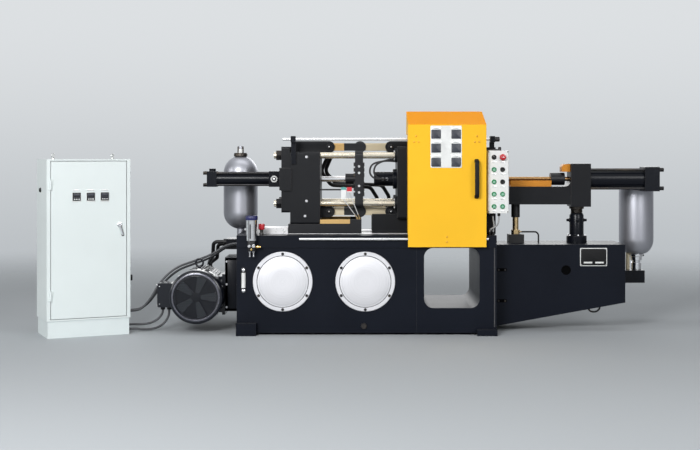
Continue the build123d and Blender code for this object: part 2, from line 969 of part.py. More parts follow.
# Injection end: arm and block in one casting, carried by the fixed platen and the jack
def injection_frame():
    arm_top = arm_bottom + arm_height
    arm = Pos((fixed_right + block_right) / 2, (arm_bottom + arm_top) / 2)
    profile = arm * Rectangle(block_right - fixed_right, arm_height)
    tall = Pos((arm_right + block_right) / 2, block_bottom + block_height / 2)
    profile += tall * Rectangle(block_length, block_height)
    inner = profile.vertices().sort_by_distance(Vertex(arm_right, arm_top, 0))[0]
    profile = fillet(inner, arm_fillet)
    body = slab_xz(profile, -arm_width / 2, arm_width / 2)
    body += block(arm_right, block_right, -block_width / 2, block_width / 2,
                  block_bottom, block_bottom + block_height)
    return body - rod_x(shot_rod_radius + run_gap, arm_right - arm_fillet, block_right, 0, axis_z)


def shot_cylinder_barrel():
    tube = rod_x(shot_barrel_radius, block_right, shot_cap_x, 0, axis_z)
    return tube - rod_x(shot_bore_radius, block_right, shot_cap_x, 0, axis_z)


def shot_cylinder_cap():
    half = shot_cap_side / 2
    return block(shot_cap_x, shot_cap_x + shot_cap_length, -half, half, axis_z - half, axis_z + half)


def shot_sleeve():
    right = fixed_right + sleeve_reach
    tube = rod_x(sleeve_radius, fixed_x, right, 0, axis_z)
    tube -= rod_x(sleeve_bore_radius, fixed_x, right, 0, axis_z)
    pour_right = plunger_tip_x - pour_gap
    return tube - block(pour_right - pour_length, pour_right, -pour_width / 2, pour_width / 2,
                        axis_z, axis_z + sleeve_radius)


def plunger():
    tip_right = plunger_tip_x + tip_length
    piston_right = shot_cap_x - shot_piston_gap
    body = rod_x(sleeve_bore_radius - run_gap, plunger_tip_x, tip_right, 0, axis_z)
    body += rod_x(plunger_rod_radius, tip_right, coupling_left, 0, axis_z)
    body += rod_x(coupling_radius, coupling_left, coupling_right, 0, axis_z)
    body += rod_x(shot_rod_radius, coupling_right, piston_right, 0, axis_z)
    return body + rod_x(shot_bore_radius - run_gap, piston_right - shot_piston_length, piston_right,
                        0, axis_z)


def plunger_tray():
    floor = arm_bottom + arm_height
    half = tray_width / 2
    outer = outline((-half, floor), (half, floor), (half, floor + tray_lip), (-half, floor + tray_lip))
    inner = outline((-half + tray_sheet, floor + tray_sheet), (half - tray_sheet, floor + tray_sheet),
                    (half - tray_sheet, floor + tray_lip), (-half + tray_sheet, floor + tray_lip))
    return slab_yz(outer - inner, tray_left, coupling_left)


# Rounded yellow guard over the coupling's end, against the injection block
def coupling_guard():
    low = axis_z + coupling_radius + coupling_guard_gap
    body = block(arm_right - coupling_guard_length, arm_right, -coupling_guard_width / 2,
                 coupling_guard_width / 2, low, low + coupling_guard_height)
    corner = body.edges().filter_by(Axis.Y).sort_by_distance(
        Vertex(arm_right - coupling_guard_length, 0, low + coupling_guard_height))[0]
    return fillet(corner, coupling_guard_radius)


def support_jack():
    body = rod_z(jack_collar_radius, jack_x, 0, tail_top, tail_top + jack_collar_height)
    body += rod_z(jack_screw_radius, jack_x, 0, tail_top, block_bottom)
    body += rod_z(jack_flange_radius, jack_x, 0, block_bottom - jack_flange_height, block_bottom)
    body += rod_z(jack_radius, jack_x, 0, tail_top + jack_collar_height, jack_pin_z + jack_radius)
    body += rod_x(jack_pin_radius, jack_x - jack_pin_length / 2, jack_x + jack_pin_length / 2, 0, jack_pin_z)
    return body + rod_y(jack_pin_radius, jack_x, -jack_pin_length / 2, jack_pin_length / 2, jack_pin_z)


nodes["injection_frame"] = injection_frame()
nodes["cylinder_barrels"] = [clamp_cylinder_barrel(), shot_cylinder_barrel()]
nodes["cylinder_caps"] = clamp_cylinder_caps() + [shot_cylinder_cap()]
nodes["shot_sleeve"] = shot_sleeve()
nodes["plunger"] = plunger()
nodes["plunger_tray"] = [plunger_tray(), coupling_guard()]
nodes["support_jack"] = support_jack()


# Gas bottles for the clamp and the shot
def bottle(x, bottom, height):
    top = bottom + height
    body = rod_z(bottle_radius, x, bottle_y, bottom + bottle_radius, top - bottle_radius)
    for z in (bottom + bottle_radius, top - bottle_radius):
        body += Pos(x, bottle_y, z) * Sphere(bottle_radius)
    return body


def neck(x, radius, low, bottom):
    return rod_z(radius, x, bottle_y, low, bottom + bottle_radius)


def shot_bottle():
    valve_top = shot_valve_bottom + shot_valve_height
    body = bottle(shot_bottle_x, shot_bottle_bottom, shot_bottle_height)
    return body + neck(shot_bottle_x, shot_neck_radius, valve_top, shot_bottle_bottom)


def clamp_bottle():
    block_top = manifold_bottom + manifold_height
    top = clamp_bottle_bottom + clamp_bottle_height
    body = bottle(clamp_bottle_x, clamp_bottle_bottom, clamp_bottle_height)
    body += neck(clamp_bottle_x, clamp_neck_radius, block_top, clamp_bottle_bottom)
    body += rod_z(gas_collar_radius, clamp_bottle_x, bottle_y, top - gas_collar_height / 2,
                  top + gas_collar_height / 2)
    return body + rod_z(gas_valve_radius, clamp_bottle_x, bottle_y, top, top + gas_valve_height)


def shot_valve_block():
    return block(tail_right, tail_right + shot_valve_length, bottle_y - shot_valve_width / 2,
                 bottle_y + shot_valve_width / 2, shot_valve_bottom, shot_valve_bottom + shot_valve_height)


def clamp_manifold():
    return block(bed_left - manifold_length, bed_left, bottle_y - manifold_width / 2,
                 bottle_y + manifold_width / 2, manifold_bottom, manifold_bottom + manifold_height)


nodes["shot_bottle"] = shot_bottle()
nodes["clamp_bottle"] = clamp_bottle()
nodes["bottle_blocks"] = [shot_valve_block(), clamp_manifold()]

# Pump motor: finned frame, fan cowl, terminal box, pump on a bell housing
cowl_back = motor_front + cowl_length
motor_back = cowl_back + motor_length
bell_front = motor_back + end_bell_length
foot_face = bed_left - bracket_depth
motor_middle = (cowl_back + motor_back) / 2
terminal_right = motor_x - motor_radius - fin_height - terminal_gap


def motor_frame():
    section = Circle(motor_radius)
    count = round(2 * pi * motor_radius / fin_pitch / 4) * 4
    for index in range(count):
        angle = 360 * (index + 0.5) / count
        if abs(cos(angle * pi / 180)) < fin_limit:
            fin_size = (fin_height + 2 * fin_root, fin_width)
            fin = Pos(motor_radius + fin_height / 2 - fin_root, 0) * Rectangle(*fin_size)
            section += Rot(0, 0, angle) * fin
    body = Pos(motor_x, 0, motor_z) * slab_xz(section, cowl_back, motor_back)
    body += rod_y(cowl_radius, motor_x, cowl_back, cowl_back + cowl_flange, motor_z)
    body += rod_y(motor_radius - fin_height, motor_x, motor_back, bell_front, motor_z)
    body += block(terminal_right, motor_x, terminal_y - motor_pad / 2, terminal_y + motor_pad / 2,
                  motor_z - motor_pad / 2, motor_z + motor_pad / 2)
    eye_z = motor_z + motor_radius + fin_height + eye_bolt_radius + 2 * eye_bolt_wire
    body += rod_z(eye_bolt_shank, motor_x, eye_bolt_y, motor_z, eye_z - eye_bolt_radius)
    body += Pos(motor_x, eye_bolt_y, eye_z) * Rot(90, 0, 0) * Torus(eye_bolt_radius, eye_bolt_wire)
    for side in (-1, 1):
        z = motor_z + side * foot_web_offset
        body += block(motor_x, foot_face, motor_middle - bracket_length / 2,
                      motor_middle + bracket_length / 2, z - foot_web / 2, z + foot_web / 2)
    return body + block(foot_face - foot_pad_thickness, foot_face, motor_middle - bracket_length / 2,
                        motor_middle + bracket_length / 2, motor_z - foot_pad_height / 2,
                        motor_z + foot_pad_height / 2)


def motor_fan_cowl():
    cup = rod_y(cowl_radius, motor_x, motor_front, cowl_back, motor_z)
    cup -= rod_y(cowl_radius - cowl_sheet, motor_x, motor_front + cowl_sheet, cowl_back, motor_z)
    slots = Circle(grille_radius) - Circle(grille_hub)
    step = (grille_radius - grille_hub) / grille_rings
    for ring in range(1, grille_rings):
        radius = grille_hub + ring * step
        slots -= Circle(radius + grille_bar / 2) - Circle(radius - grille_bar / 2)
    for spoke in range(grille_spokes):
        slots -= Rot(0, 0, 180 * spoke / grille_spokes) * Rectangle(2 * grille_radius, grille_bar)
    grille = Pos(motor_x, 0, motor_z) * slab_xz(slots, motor_front, motor_front + cowl_sheet)
    lip = rod_y(grille_radius + 2 * cowl_lip, motor_x, motor_front - cowl_lip, motor_front, motor_z)
    lip -= rod_y(grille_radius, motor_x, motor_front - cowl_lip, motor_front, motor_z)
    return cup - grille + lip


def motor_bracket():
    bracket_top = bracket_bottom + bracket_height
    profile = outline((foot_face, bracket_bottom), (bed_left, bracket_bottom),
                      (bed_left, bracket_top), (foot_face, bracket_top))
    profile -= outline((foot_face + bracket_plate, bracket_bottom + bracket_plate),
                       (bed_left - bracket_plate, bracket_bottom + bracket_plate),
                       (bed_left - bracket_plate, bracket_top - bracket_plate),
                       (foot_face + bracket_plate, bracket_top - bracket_plate))
    return slab_xz(profile, motor_middle - bracket_length / 2, motor_middle + bracket_length / 2)


def motor_terminal_box():
    low = terminal_bottom
    high = terminal_bottom + terminal_height
    left = terminal_right - terminal_width
    box = block(left, terminal_right, terminal_y - terminal_depth / 2,
                terminal_y + terminal_depth / 2, low, high)
    return fillet(box.edges().filter_by(Axis.Y), edge_radius)


def hydraulic_pump():
    bell = rod_y(bell_radius, motor_x, bell_front, bell_front + bell_length, motor_z)
    bell += rod_y(pump_radius, motor_x, bell_front + bell_length,
                  bell_front + bell_length + pump_length, motor_z)
    for y in pump_port_y:
        bell += rod_z(pipe_nut_radius, motor_x, y, motor_z, motor_z + pump_radius + pump_port_height)
    return bell


def lubricator():
    half = oiler_block_side / 2
    bowl_top = oiler_bowl_bottom + oiler_bowl_height
    y = band_front - oiler_cap_radius - run_gap
    body = block(oiler_x - half, oiler_x + half, y - half, band_front,
                 oiler_bowl_bottom - oiler_block_height, oiler_bowl_bottom)
    body += rod_z(oiler_bowl_radius, oiler_x, y, oiler_bowl_bottom, bowl_top)
    return body + rod_z(oiler_cap_radius, oiler_x, y, bowl_top, bowl_top + oiler_cap_height)


def shutoff_valve():
    post_top = bed_top + knob_post_height
    post = rod_z(knob_post_radius, knob_x, knob_y, bed_top, post_top)
    return post + rod_z(knob_radius, knob_x, knob_y, post_top, post_top + knob_height)


nodes["motor_frame"] = motor_frame()
nodes["motor_fan_cowl"] = motor_fan_cowl()
nodes["motor_terminal_box"] = motor_terminal_box()
nodes["motor_bracket"] = motor_bracket()
nodes["hydraulic_pump"] = hydraulic_pump()
nodes["lubricator"] = lubricator()
nodes["shutoff_valve"] = shutoff_valve()


# Bent pipes: straight runs with round bends between them
def pipe(points, radius, bend):
    path = FilletPolyline(*points, radius=bend)
    return sweep(Plane(path @ 0, z_dir=path % 0) * Circle(radius), path=path)


def clamp_pipes():
    clip = block(clip_left, clip_right, half_platen, half_platen + clip_reach, clip_bottom,
                 clip_bottom + clip_height)
    near, far = clamp_pipe_y
    near_end, far_end = clamp_pipe_ends
    top = clip_bottom + pipe_radius
    clip += pipe([(-245, near, top), (-290, near, 975), (-225, near, 885), (30, near, 872),
                  (near_end, near, 800), (near_end, near, bed_top)], pipe_radius, clamp_pipe_bend)
    clip += pipe([(-222, far, top), (-265, far, 975), (-195, far, 895), (105, far, 885),
                  (far_end, far, 812), (far_end, far, bed_top)], pipe_radius, clamp_pipe_bend)
    for x, y in zip(clamp_pipe_ends, clamp_pipe_y):
        clip += rod_z(pipe_nut_radius, x, y, bed_top, bed_top + pipe_nut_length)
    return clip


def pump_pipes():
    face = bed_left - manifold_length
    near, far = pump_port_y
    port = motor_z + pump_radius + pump_port_height
    routes = [
        [(face, 150, 525), (-975, 150, 525), (-985, 200, 430), (motor_x, near, 375), (motor_x, near, port)],
        [(face, 235, 505), (-955, 235, 505), (-970, 310, 410), (motor_x, far, 365), (motor_x, far, port)],
    ]
    pipes = []
    for route in routes:
        body = pipe(route, pipe_radius, pump_pipe_bend)
        body += rod_x(pipe_nut_radius, face - pipe_nut_length, face, route[0][1], route[0][2])
        pipes.append(body)
    return pipes


def shot_pipe():
    half = shot_base_side / 2
    nut_low = tail_top + shot_base_height
    nut_high = nut_low + shot_nut_height
    hose_low = arm_bottom - shot_pipe_length
    body = block(shot_pipe_x - half, shot_pipe_x + half, -half, half, tail_top, nut_low)
    body += Pos(shot_pipe_x, 0, nut_low) * extrude(RegularPolygon(shot_pipe_radius, 6), shot_nut_height)
    body += rod_z(ferrule_radius, shot_pipe_x, 0, nut_high, hose_low)
    body += rod_z(shot_pipe_radius, shot_pipe_x, 0, hose_low, arm_bottom)
    middle = (nut_low + nut_high) / 2
    corner_x = shot_pipe_x + thin_pipe_reach
    corner = [(shot_pipe_x, 0, middle), (corner_x, 0, middle), (corner_x, 0, tail_top)]
    return body + pipe(corner, thin_pipe_radius, thin_pipe_bend)


def limit_switches():
    body = rod_x(switch_bar_radius, rear_face, switch_right_x, switch_y, switch_bar_z)
    rail_top = slideway_top + rear_shoe_height
    gland_top = rail_top + switch_gland_height
    ends = zip((switch_left_x, switch_right_x), (switch_left_height, switch_right_height), switch_wire_ends)
    for x, height, wire_x in ends:
        top = switch_bar_z + switch_width / 2
        body += block(x - switch_width / 2, x + switch_width / 2, switch_y - switch_depth / 2,
                      switch_y + switch_depth / 2, top - height, top)
        line = Line((x, switch_y, top - height), (wire_x, switch_y, gland_top - switch_gland_radius))
        body += sweep(Plane(line @ 0, z_dir=line % 0) * Circle(switch_wire_radius), path=line)
        body += rod_z(switch_gland_radius, wire_x, switch_y, rail_top, gland_top)
    return body


nodes["hydraulic_pipes"] = [clamp_pipes(), *pump_pipes(), shot_pipe()]
nodes["limit_switches"] = limit_switches()

# Electric cabinet, drawn square to its own axes and then set in place
half_cabinet = cabinet_width / 2
cabinet_front = -cabinet_depth / 2
cabinet_top = plinth_height + cabinet_height
door_half = half_cabinet - cabinet_frame - door_gap
door_bottom = plinth_height + cabinet_frame_end + door_gap
door_top = cabinet_top - cabinet_frame_end - door_gap
hinge_x = -half_cabinet + cabinet_frame
hinge_y = cabinet_front - hinge_radius
hinge_levels = (plinth_height + hinge_inset, cabinet_top - hinge_inset)


def cabinet_body():
    shell = block(-half_cabinet, half_cabinet, cabinet_front, -cabinet_front, plinth_height, cabinet_top)
    shell -= block(-half_cabinet + cabinet_sheet, half_cabinet - cabinet_sheet,
                   cabinet_front + cabinet_sheet, -cabinet_front - cabinet_sheet,
                   plinth_height + cabinet_sheet, cabinet_top - cabinet_sheet)
    return shell - block(-half_cabinet + cabinet_frame, half_cabinet - cabinet_frame, cabinet_front,
                         cabinet_front + cabinet_sheet, plinth_height + cabinet_frame_end,
                         cabinet_top - cabinet_frame_end)


def cabinet_plinth():
    half_x = half_cabinet - plinth_inset
    half_y = -cabinet_front - plinth_inset
    ring = block(-half_x, half_x, -half_y, half_y, 0, plinth_height)
    return ring - block(-half_x + cabinet_sheet, half_x - cabinet_sheet, -half_y + cabinet_sheet,
                        half_y - cabinet_sheet, 0, plinth_height)


def cabinet_door():
    pan = block(-door_half, door_half, cabinet_front, cabinet_front + door_depth, door_bottom, door_top)
    return pan - block(-door_half + cabinet_sheet, door_half - cabinet_sheet,
                       cabinet_front + cabinet_sheet, cabinet_front + door_depth,
                       door_bottom + cabinet_sheet, door_top - cabinet_sheet)


# Each hinge has a body knuckle with the pin, below a door knuckle
def body_knuckle(z):
    half = hinge_length / 2
    knuckle = rod_z(hinge_radius, hinge_x, hinge_y, z - half, z - fit_gap)
    knuckle += block(hinge_x - hinge_leaf, hinge_x, cabinet_front - cabinet_sheet, cabinet_front,
                     z - half, z - fit_gap)
    return knuckle + rod_z(hinge_pin_radius, hinge_x, hinge_y, z - half, z + half)


def door_knuckle(z):
    half = hinge_length / 2
    knuckle = rod_z(hinge_radius, hinge_x, hinge_y, z, z + half)
    knuckle += block(hinge_x, hinge_x + hinge_leaf, cabinet_front - cabinet_sheet, cabinet_front,
                     z, z + half)
    return knuckle - rod_z(hinge_pin_radius + fit_gap, hinge_x, hinge_y, z, z + half)


def mounting_plate():
    back = -cabinet_front - cabinet_sheet
    plate = block(-half_cabinet + back_plate_margin, half_cabinet - back_plate_margin,
                  back - back_plate_standoff - back_plate_thickness, back - back_plate_standoff,
                  plinth_height + back_plate_margin, cabinet_top - back_plate_margin)
    for x in (-half_cabinet + 2 * back_plate_margin, half_cabinet - 2 * back_plate_margin):
        for z in (plinth_height + 2 * back_plate_margin, cabinet_top - 2 * back_plate_margin):
            plate += rod_y(hinge_radius, x, back - back_plate_standoff, back, z)
    return plate


def door_timers():
    half = timer_side / 2
    timers = []
    for index in (-1, 0, 1):
        x = timer_x + index * timer_pitch
        timers.append(block(x - half, x + half, cabinet_front - timer_reach, cabinet_front,
                            timer_z - half, timer_z + half))
    return timers


def door_lock():
    x = door_half - lock_inset
    body = block(x - lock_width / 2, x + lock_width / 2, cabinet_front - lock_reach, cabinet_front,
                 lock_z - lock_height / 2, lock_z + lock_height / 2)
    return fillet(body.edges().filter_by(Axis.Y), lock_radius)


def in_place(shape):
    if isinstance(shape, list):
        return [cabinet_place * solid for solid in shape]
    return cabinet_place * shape


knuckles = [body_knuckle(z) for z in hinge_levels]
nodes["cabinet_body"] = in_place(cabinet_body() + knuckles)
nodes["cabinet_plinth"] = in_place(cabinet_plinth())
nodes["mounting_plate"] = in_place(mounting_plate())
door_knuckles = [door_knuckle(z) for z in hinge_levels]
nodes["cabinet_door"] = in_place(cabinet_door() + door_knuckles)
nodes["door_fittings"] = in_place(door_timers() + [door_lock()])


# Cables between the cabinet, the motor and the bed, each from gland to gland
def cabinet_point(x, y, z):
    turn = cabinet_turn * pi / 180
    return (cabinet_x + x * cos(turn) - y * sin(turn), cabinet_y + x * sin(turn) + y * cos(turn), z)


cabinet_exits = {
    "control_cable": (half_cabinet, -20, 124),
    "sensor_cable": (half_cabinet, 25, 124),
    "motor_cable": (half_cabinet - plinth_inset, -40, 44),
    "pump_cable": (half_cabinet - plinth_inset, -75, 22),
}
gland_axis_x = (-1, 0, 0)
gland_axis_down = (0, 0, -1)
gland_axis_up = (0, 0, 1)
terminal_middle = terminal_right - terminal_width / 2
panel_cable_y = -295
machine_exits = {
    "control_cable": ((bed_left, 60, 522), gland_axis_x),
    "sensor_cable": ((bed_left, 96, 508), gland_axis_x),
    "motor_cable": ((terminal_middle - gland_spread / 2, terminal_y, terminal_bottom), gland_axis_down),
    "pump_cable": ((terminal_middle + gland_spread / 2, terminal_y, terminal_bottom), gland_axis_down),
    "panel_cable_left": ((764, -308, bed_top), gland_axis_up),
    "panel_cable_right": ((742, -312, bed_top), gland_axis_up),
}
panel_exits = {
    "panel_cable_left": ((764, panel_cable_y, panel_bottom), gland_axis_down),
    "panel_cable_right": ((800, panel_cable_y, panel_bottom), gland_axis_down),
}
cable_routes = {
    "control_cable": [(-1425, -167, 124), (-1386, -146, 131), (-1338, -100, 185), (-1282, -56, 296),
                      (-1190, -20, 378), (-1085, 12, 412), (-975, 42, 450), (-905, 56, 500),
                      (-845, 60, 522)],
    "sensor_cable": [(-1434, -122, 124), (-1394, -99, 129), (-1341, -60, 172), (-1277, -20, 275),
                     (-1188, 18, 357), (-1083, 48, 394), (-973, 78, 432), (-905, 92, 486),
                     (-845, 96, 508)],
    "motor_cable": [(-1425, -189, 44), (-1390, -173, 41), (-1343, -153, 42), (-1298, -137, 58),
                    (-1270, -131.5, 84), (-1256, -130, 109)],
    "pump_cable": [(-1412, -221.5, 22), (-1375, -204, 14), (-1325, -178, 11), (-1275, -150, 21),
                   (-1240, -135, 50), (-1221, -130.5, 84), (-1217, -130, 110)],
    "panel_cable_left": [(764, -295, 694), (769, -301, 672), (770, -307, 650), (764, -308, 632)],
    "panel_cable_right": [(800, -295, 694), (797, -303, 672), (788, -314, 656), (772, -322, 646),
                          (755, -320, 637), (742, -312, 629)],
}


def gland(base, axis, radius):
    return Plane(base, z_dir=axis) * extrude(Circle(radius), gland_length)


def beyond(base, axis):
    reach = gland_length + fit_gap
    return tuple(place + reach * step for place, step in zip(base, axis))


def cable(points, diameter, name):
    radii = []
    for before, here, after in zip(points, points[1:], points[2:]):
        arriving = Vector(*here) - Vector(*before)
        leaving = Vector(*after) - Vector(*here)
        half_turn = arriving.get_angle(leaving) / 2 * pi / 180
        radii.append(bend_share * min(arriving.length, leaving.length) / tan(half_turn))
    path = FilletPolyline(*points, radius=radii)
    print(name, "radii", [round(radius) for radius in radii], "length", round(path.length))
    return sweep(Plane(path @ 0, z_dir=path % 0) * Circle(diameter / 2), path=path)


side_axis = (cos(cabinet_turn * pi / 180), sin(cabinet_turn * pi / 180), 0)
starts = {name: (cabinet_point(*place), side_axis) for name, place in cabinet_exits.items()}
starts.update(panel_exits)
glands = []
for name, route in cable_routes.items():
    slim = name.startswith("panel")
    diameter = panel_cable_diameter if slim else cable_diameter
    radius = panel_gland_radius if slim else gland_radius
    points = [beyond(*starts[name])] + route + [beyond(*machine_exits[name])]
    nodes[name] = cable(points, diameter, name)
    glands.append(gland(*starts[name], radius))
    glands.append(gland(*machine_exits[name], radius))
nodes["cable_glands"] = glands

for name, shape in nodes.items():
    solids = shape if isinstance(shape, list) else [shape]
    export_step(Compound(children=solids), "parts/" + name + ".step")
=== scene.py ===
import bmesh
import bpy
from math import atan2, copysign, cos, pi, radians, sin, sqrt
from mathutils import Matrix, Vector


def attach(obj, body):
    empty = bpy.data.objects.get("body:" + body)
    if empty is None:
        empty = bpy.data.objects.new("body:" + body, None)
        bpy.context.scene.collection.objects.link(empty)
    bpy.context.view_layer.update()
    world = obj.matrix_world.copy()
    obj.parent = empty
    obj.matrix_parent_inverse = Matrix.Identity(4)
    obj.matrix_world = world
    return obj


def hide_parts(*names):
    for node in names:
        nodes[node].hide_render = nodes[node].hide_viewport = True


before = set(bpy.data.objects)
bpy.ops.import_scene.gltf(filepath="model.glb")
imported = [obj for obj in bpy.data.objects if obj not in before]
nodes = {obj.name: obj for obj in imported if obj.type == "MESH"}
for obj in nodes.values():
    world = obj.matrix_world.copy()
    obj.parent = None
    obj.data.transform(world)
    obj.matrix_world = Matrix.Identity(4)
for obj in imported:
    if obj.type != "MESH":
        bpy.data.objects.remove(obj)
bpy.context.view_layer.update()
scene = bpy.context.scene
scene.view_settings.view_transform = "Standard"
print("frame loaded:", len(nodes), "nodes")

# camera: level, far off, with the lens pushed down as the photograph's framing asks
cameraSettings = {"place": (-0.0635, -7.85, 1.08), "lens": 64.29, "sensor": 36, "shiftX": -0.0086, "shiftY": -0.1}
cameraData = bpy.data.cameras.new("camera")
cameraData.lens = cameraSettings["lens"]
cameraData.sensor_width = cameraSettings["sensor"]
cameraData.shift_x = cameraSettings["shiftX"]
cameraData.shift_y = cameraSettings["shiftY"]
camera = bpy.data.objects.new("camera", cameraData)
camera.location = cameraSettings["place"]
camera.rotation_euler = (pi / 2, 0, 0)
scene.collection.objects.link(camera)
scene.camera = camera
print("camera set")


# shader values: sums written in Python become Math nodes
class Value:
    def __init__(self, finish, socket):
        self.finish = finish
        self.socket = socket

    def sum(self, operation, first, second):
        return self.finish.node("Math", {"operation": operation}, {0: first, 1: second})

    def __add__(self, other):
        return self.sum("ADD", self, other)

    def __radd__(self, other):
        return self.sum("ADD", other, self)

    def __sub__(self, other):
        return self.sum("SUBTRACT", self, other)

    def __rsub__(self, other):
        return self.sum("SUBTRACT", other, self)

    def __mul__(self, other):
        return self.sum("MULTIPLY", self, other)

    def __pow__(self, other):
        return self.sum("POWER", self, other)


# one material: its tree, its shader and the nodes that feed it
class Finish:
    names = {"colour": "Base Color", "rough": "Roughness", "metal": "Metallic", "normal": "Normal", "alpha": "Alpha",
             "coat": "Coat Weight", "coatRough": "Coat Roughness", "specular": "Specular IOR Level"}

    def __init__(self, name):
        self.material = bpy.data.materials.new(name)
        self.material.use_nodes = True
        self.plant(self.material.node_tree, "BsdfPrincipled", "OutputMaterial", "Object")

    def plant(self, tree, shader, output, coords):
        self.tree = tree
        tree.nodes.clear()
        self.shader = tree.nodes.new("ShaderNode" + shader)
        end = tree.nodes.new("ShaderNode" + output)
        tree.links.new(self.shader.outputs[0], end.inputs[0])
        self.coords = self.node("TexCoord", out=coords)

    def put(self, value, socket):
        if isinstance(value, Value):
            self.tree.links.new(value.socket, socket)
        else:
            socket.default_value = value

    def node(self, kind, settings=None, sockets=None, out=0):
        made = self.tree.nodes.new("ShaderNode" + kind)
        for key, value in (settings or {}).items():
            setattr(made, key, value)
        for key, value in (sockets or {}).items():
            self.put(value, made.inputs[key])
        return Value(self, made.outputs[out])

    def noise(self, scale, stretch=(1, 1, 1), detail=3, rough=0.55, distortion=0):
        place = self.node("Mapping", {}, {"Vector": self.coords, "Scale": stretch})
        return self.node("TexNoise", {}, {"Vector": place, "Scale": scale, "Detail": detail,
                                          "Roughness": rough, "Distortion": distortion})

    def band(self, value, low, high):
        return self.node("MapRange", {"interpolation_type": "SMOOTHSTEP"}, {0: value, 1: low, 2: high})

    def mix(self, share, first, second):
        return self.node("Mix", {"data_type": "RGBA"}, {0: share, 6: first, 7: second}, out=2)

    # the same colour a little darker and a little paler
    def vary(self, share, colour, darker, paler):
        return self.mix(share, shade(colour, darker), shade(colour, paler))

    def bump(self, height, strength, distance, normal):
        return self.node("Bump", {}, {"Height": height, "Strength": strength, "Distance": distance, "Normal": normal})

    def flat(self):
        return self.node("NewGeometry", out="Normal")

    def softEdge(self, radius):
        return self.node("Bevel", {"samples": 6}, {"Radius": radius}) if radius else self.flat()

    # edges where the soft normal leaves the flat one, broken up by specks
    def rubbed(self, normal, speck, share):
        alike = self.node("VectorMath", {"operation": "DOT_PRODUCT"}, {0: normal, 1: self.flat()}, out="Value")
        return self.band((1 - alike) * (0.35 + speck * 1.5), 0.06, 0.30) * share

    def axis(self, name, vector=None):
        return self.node("SeparateXYZ", {}, {0: vector or self.coords}, out=name)

    def distance(self, axes, middle):
        first, second = [self.axis(name) - place for name, place in zip(axes, middle)]
        return (first ** 2 + second ** 2) ** 0.5

    def set(self, **sockets):
        for key, value in sockets.items():
            self.put(value, self.shader.inputs[self.names[key]])
        return self.material


def rgb(red, green, blue):
    return (red, green, blue, 1)


def shade(colour, factor):
    return rgb(*[min(1, channel * factor) for channel in colour[:3]])


bareMetal = rgb(0.32, 0.31, 0.30)
lyingDust = rgb(0.42, 0.40, 0.37)
oilStain = rgb(0.30, 0.22, 0.12)
fineDepth = 0.0003


# sprayed paint: orange peel, cloudy tone, painted shade on top faces where a shaded top colour is given, dust on top
# faces, rubbed edges and a few fine scratches
def paint(name, colour, rough, edge=0.0025, rub=0.5, rubColour=bareMetal, peel=0.25, dust=0.12, coat=0.0,
          cloudy=0.12, specular=0.5, shadedTopColour=None, metal=0.0):
    f = Finish(name)
    normal = f.softEdge(edge)
    cloud = f.noise(2.3, detail=4)
    speck = f.noise(60, detail=5)
    tone = f.vary(f.band(cloud, 0.3, 0.7), colour, 1 - cloudy, 1 + cloudy)
    up = f.axis("Z", f.flat())
    # painted shade: faces turned upwards take the shaded top colour, standing in for how the light falls on the top
    if shadedTopColour:
        tone = f.mix(f.band(up, 0.2, 0.5), tone, shadedTopColour)
    lying = f.band(up, 0.55, 1.0) * f.band(speck, 0.35, 0.75) * dust
    tone = f.mix(lying, tone, lyingDust)
    scratch = f.band(f.noise(38, (1, 1, 9), detail=6, distortion=0.4), 0.68, 0.74) * 0.35
    edgeMask = f.rubbed(normal, speck, rub)
    tone = f.mix(edgeMask, tone, rubColour)
    roughness = rough + (cloud - 0.5) * 0.16 + scratch * 0.12 + lying * 0.5
    orangePeel = f.noise(420, detail=2) - scratch * 0.6
    return f.set(colour=tone, rough=roughness, coat=coat, coatRough=0.08, metal=metal + edgeMask * 0.5,
                 specular=specular, normal=f.bump(orangePeel, peel, 2 * fineDepth, normal))


# ground, turned or drawn steel: the grain runs across the stretch that is given
def steel(name, colour, rough, grainScale, stain, grain=(1, 1, 1), edge=0.0012, stainColour=oilStain, bumpSize=0.12,
          metal=1.0, streak=0.22):
    f = Finish(name)
    normal = f.softEdge(edge)
    lines = f.noise(grainScale, grain, detail=4, rough=0.6)
    cloud = f.noise(7, detail=5)
    film = f.band(cloud, 0.45, 0.8) * stain
    tone = f.vary(f.band(lines, 0.25, 0.75), colour, 0.9, 1.06)
    tone = f.mix(film, tone, stainColour)
    roughness = rough + (lines - 0.5) * streak + film * 0.25 + (cloud - 0.5) * 0.1
    return f.set(colour=tone, rough=roughness, metal=metal, normal=f.bump(lines, bumpSize, fineDepth, normal))


# moulded plastic and rubber: spark-eroded skin with hazy patches
def plastic(name, colour, rough, skinScale=700, skin=0.2, specular=0.5, coat=0.0):
    f = Finish(name)
    cloud = f.noise(9, detail=4)
    grain = f.noise(skinScale, detail=2)
    tone = f.vary(f.band(cloud, 0.3, 0.7), colour, 0.9, 1.1)
    roughness = rough + (cloud - 0.5) * 0.18
    return f.set(colour=tone, rough=roughness, coat=coat, coatRough=0.1, specular=specular,
                 normal=f.bump(grain, skin, fineDepth, f.softEdge(0.0008)))


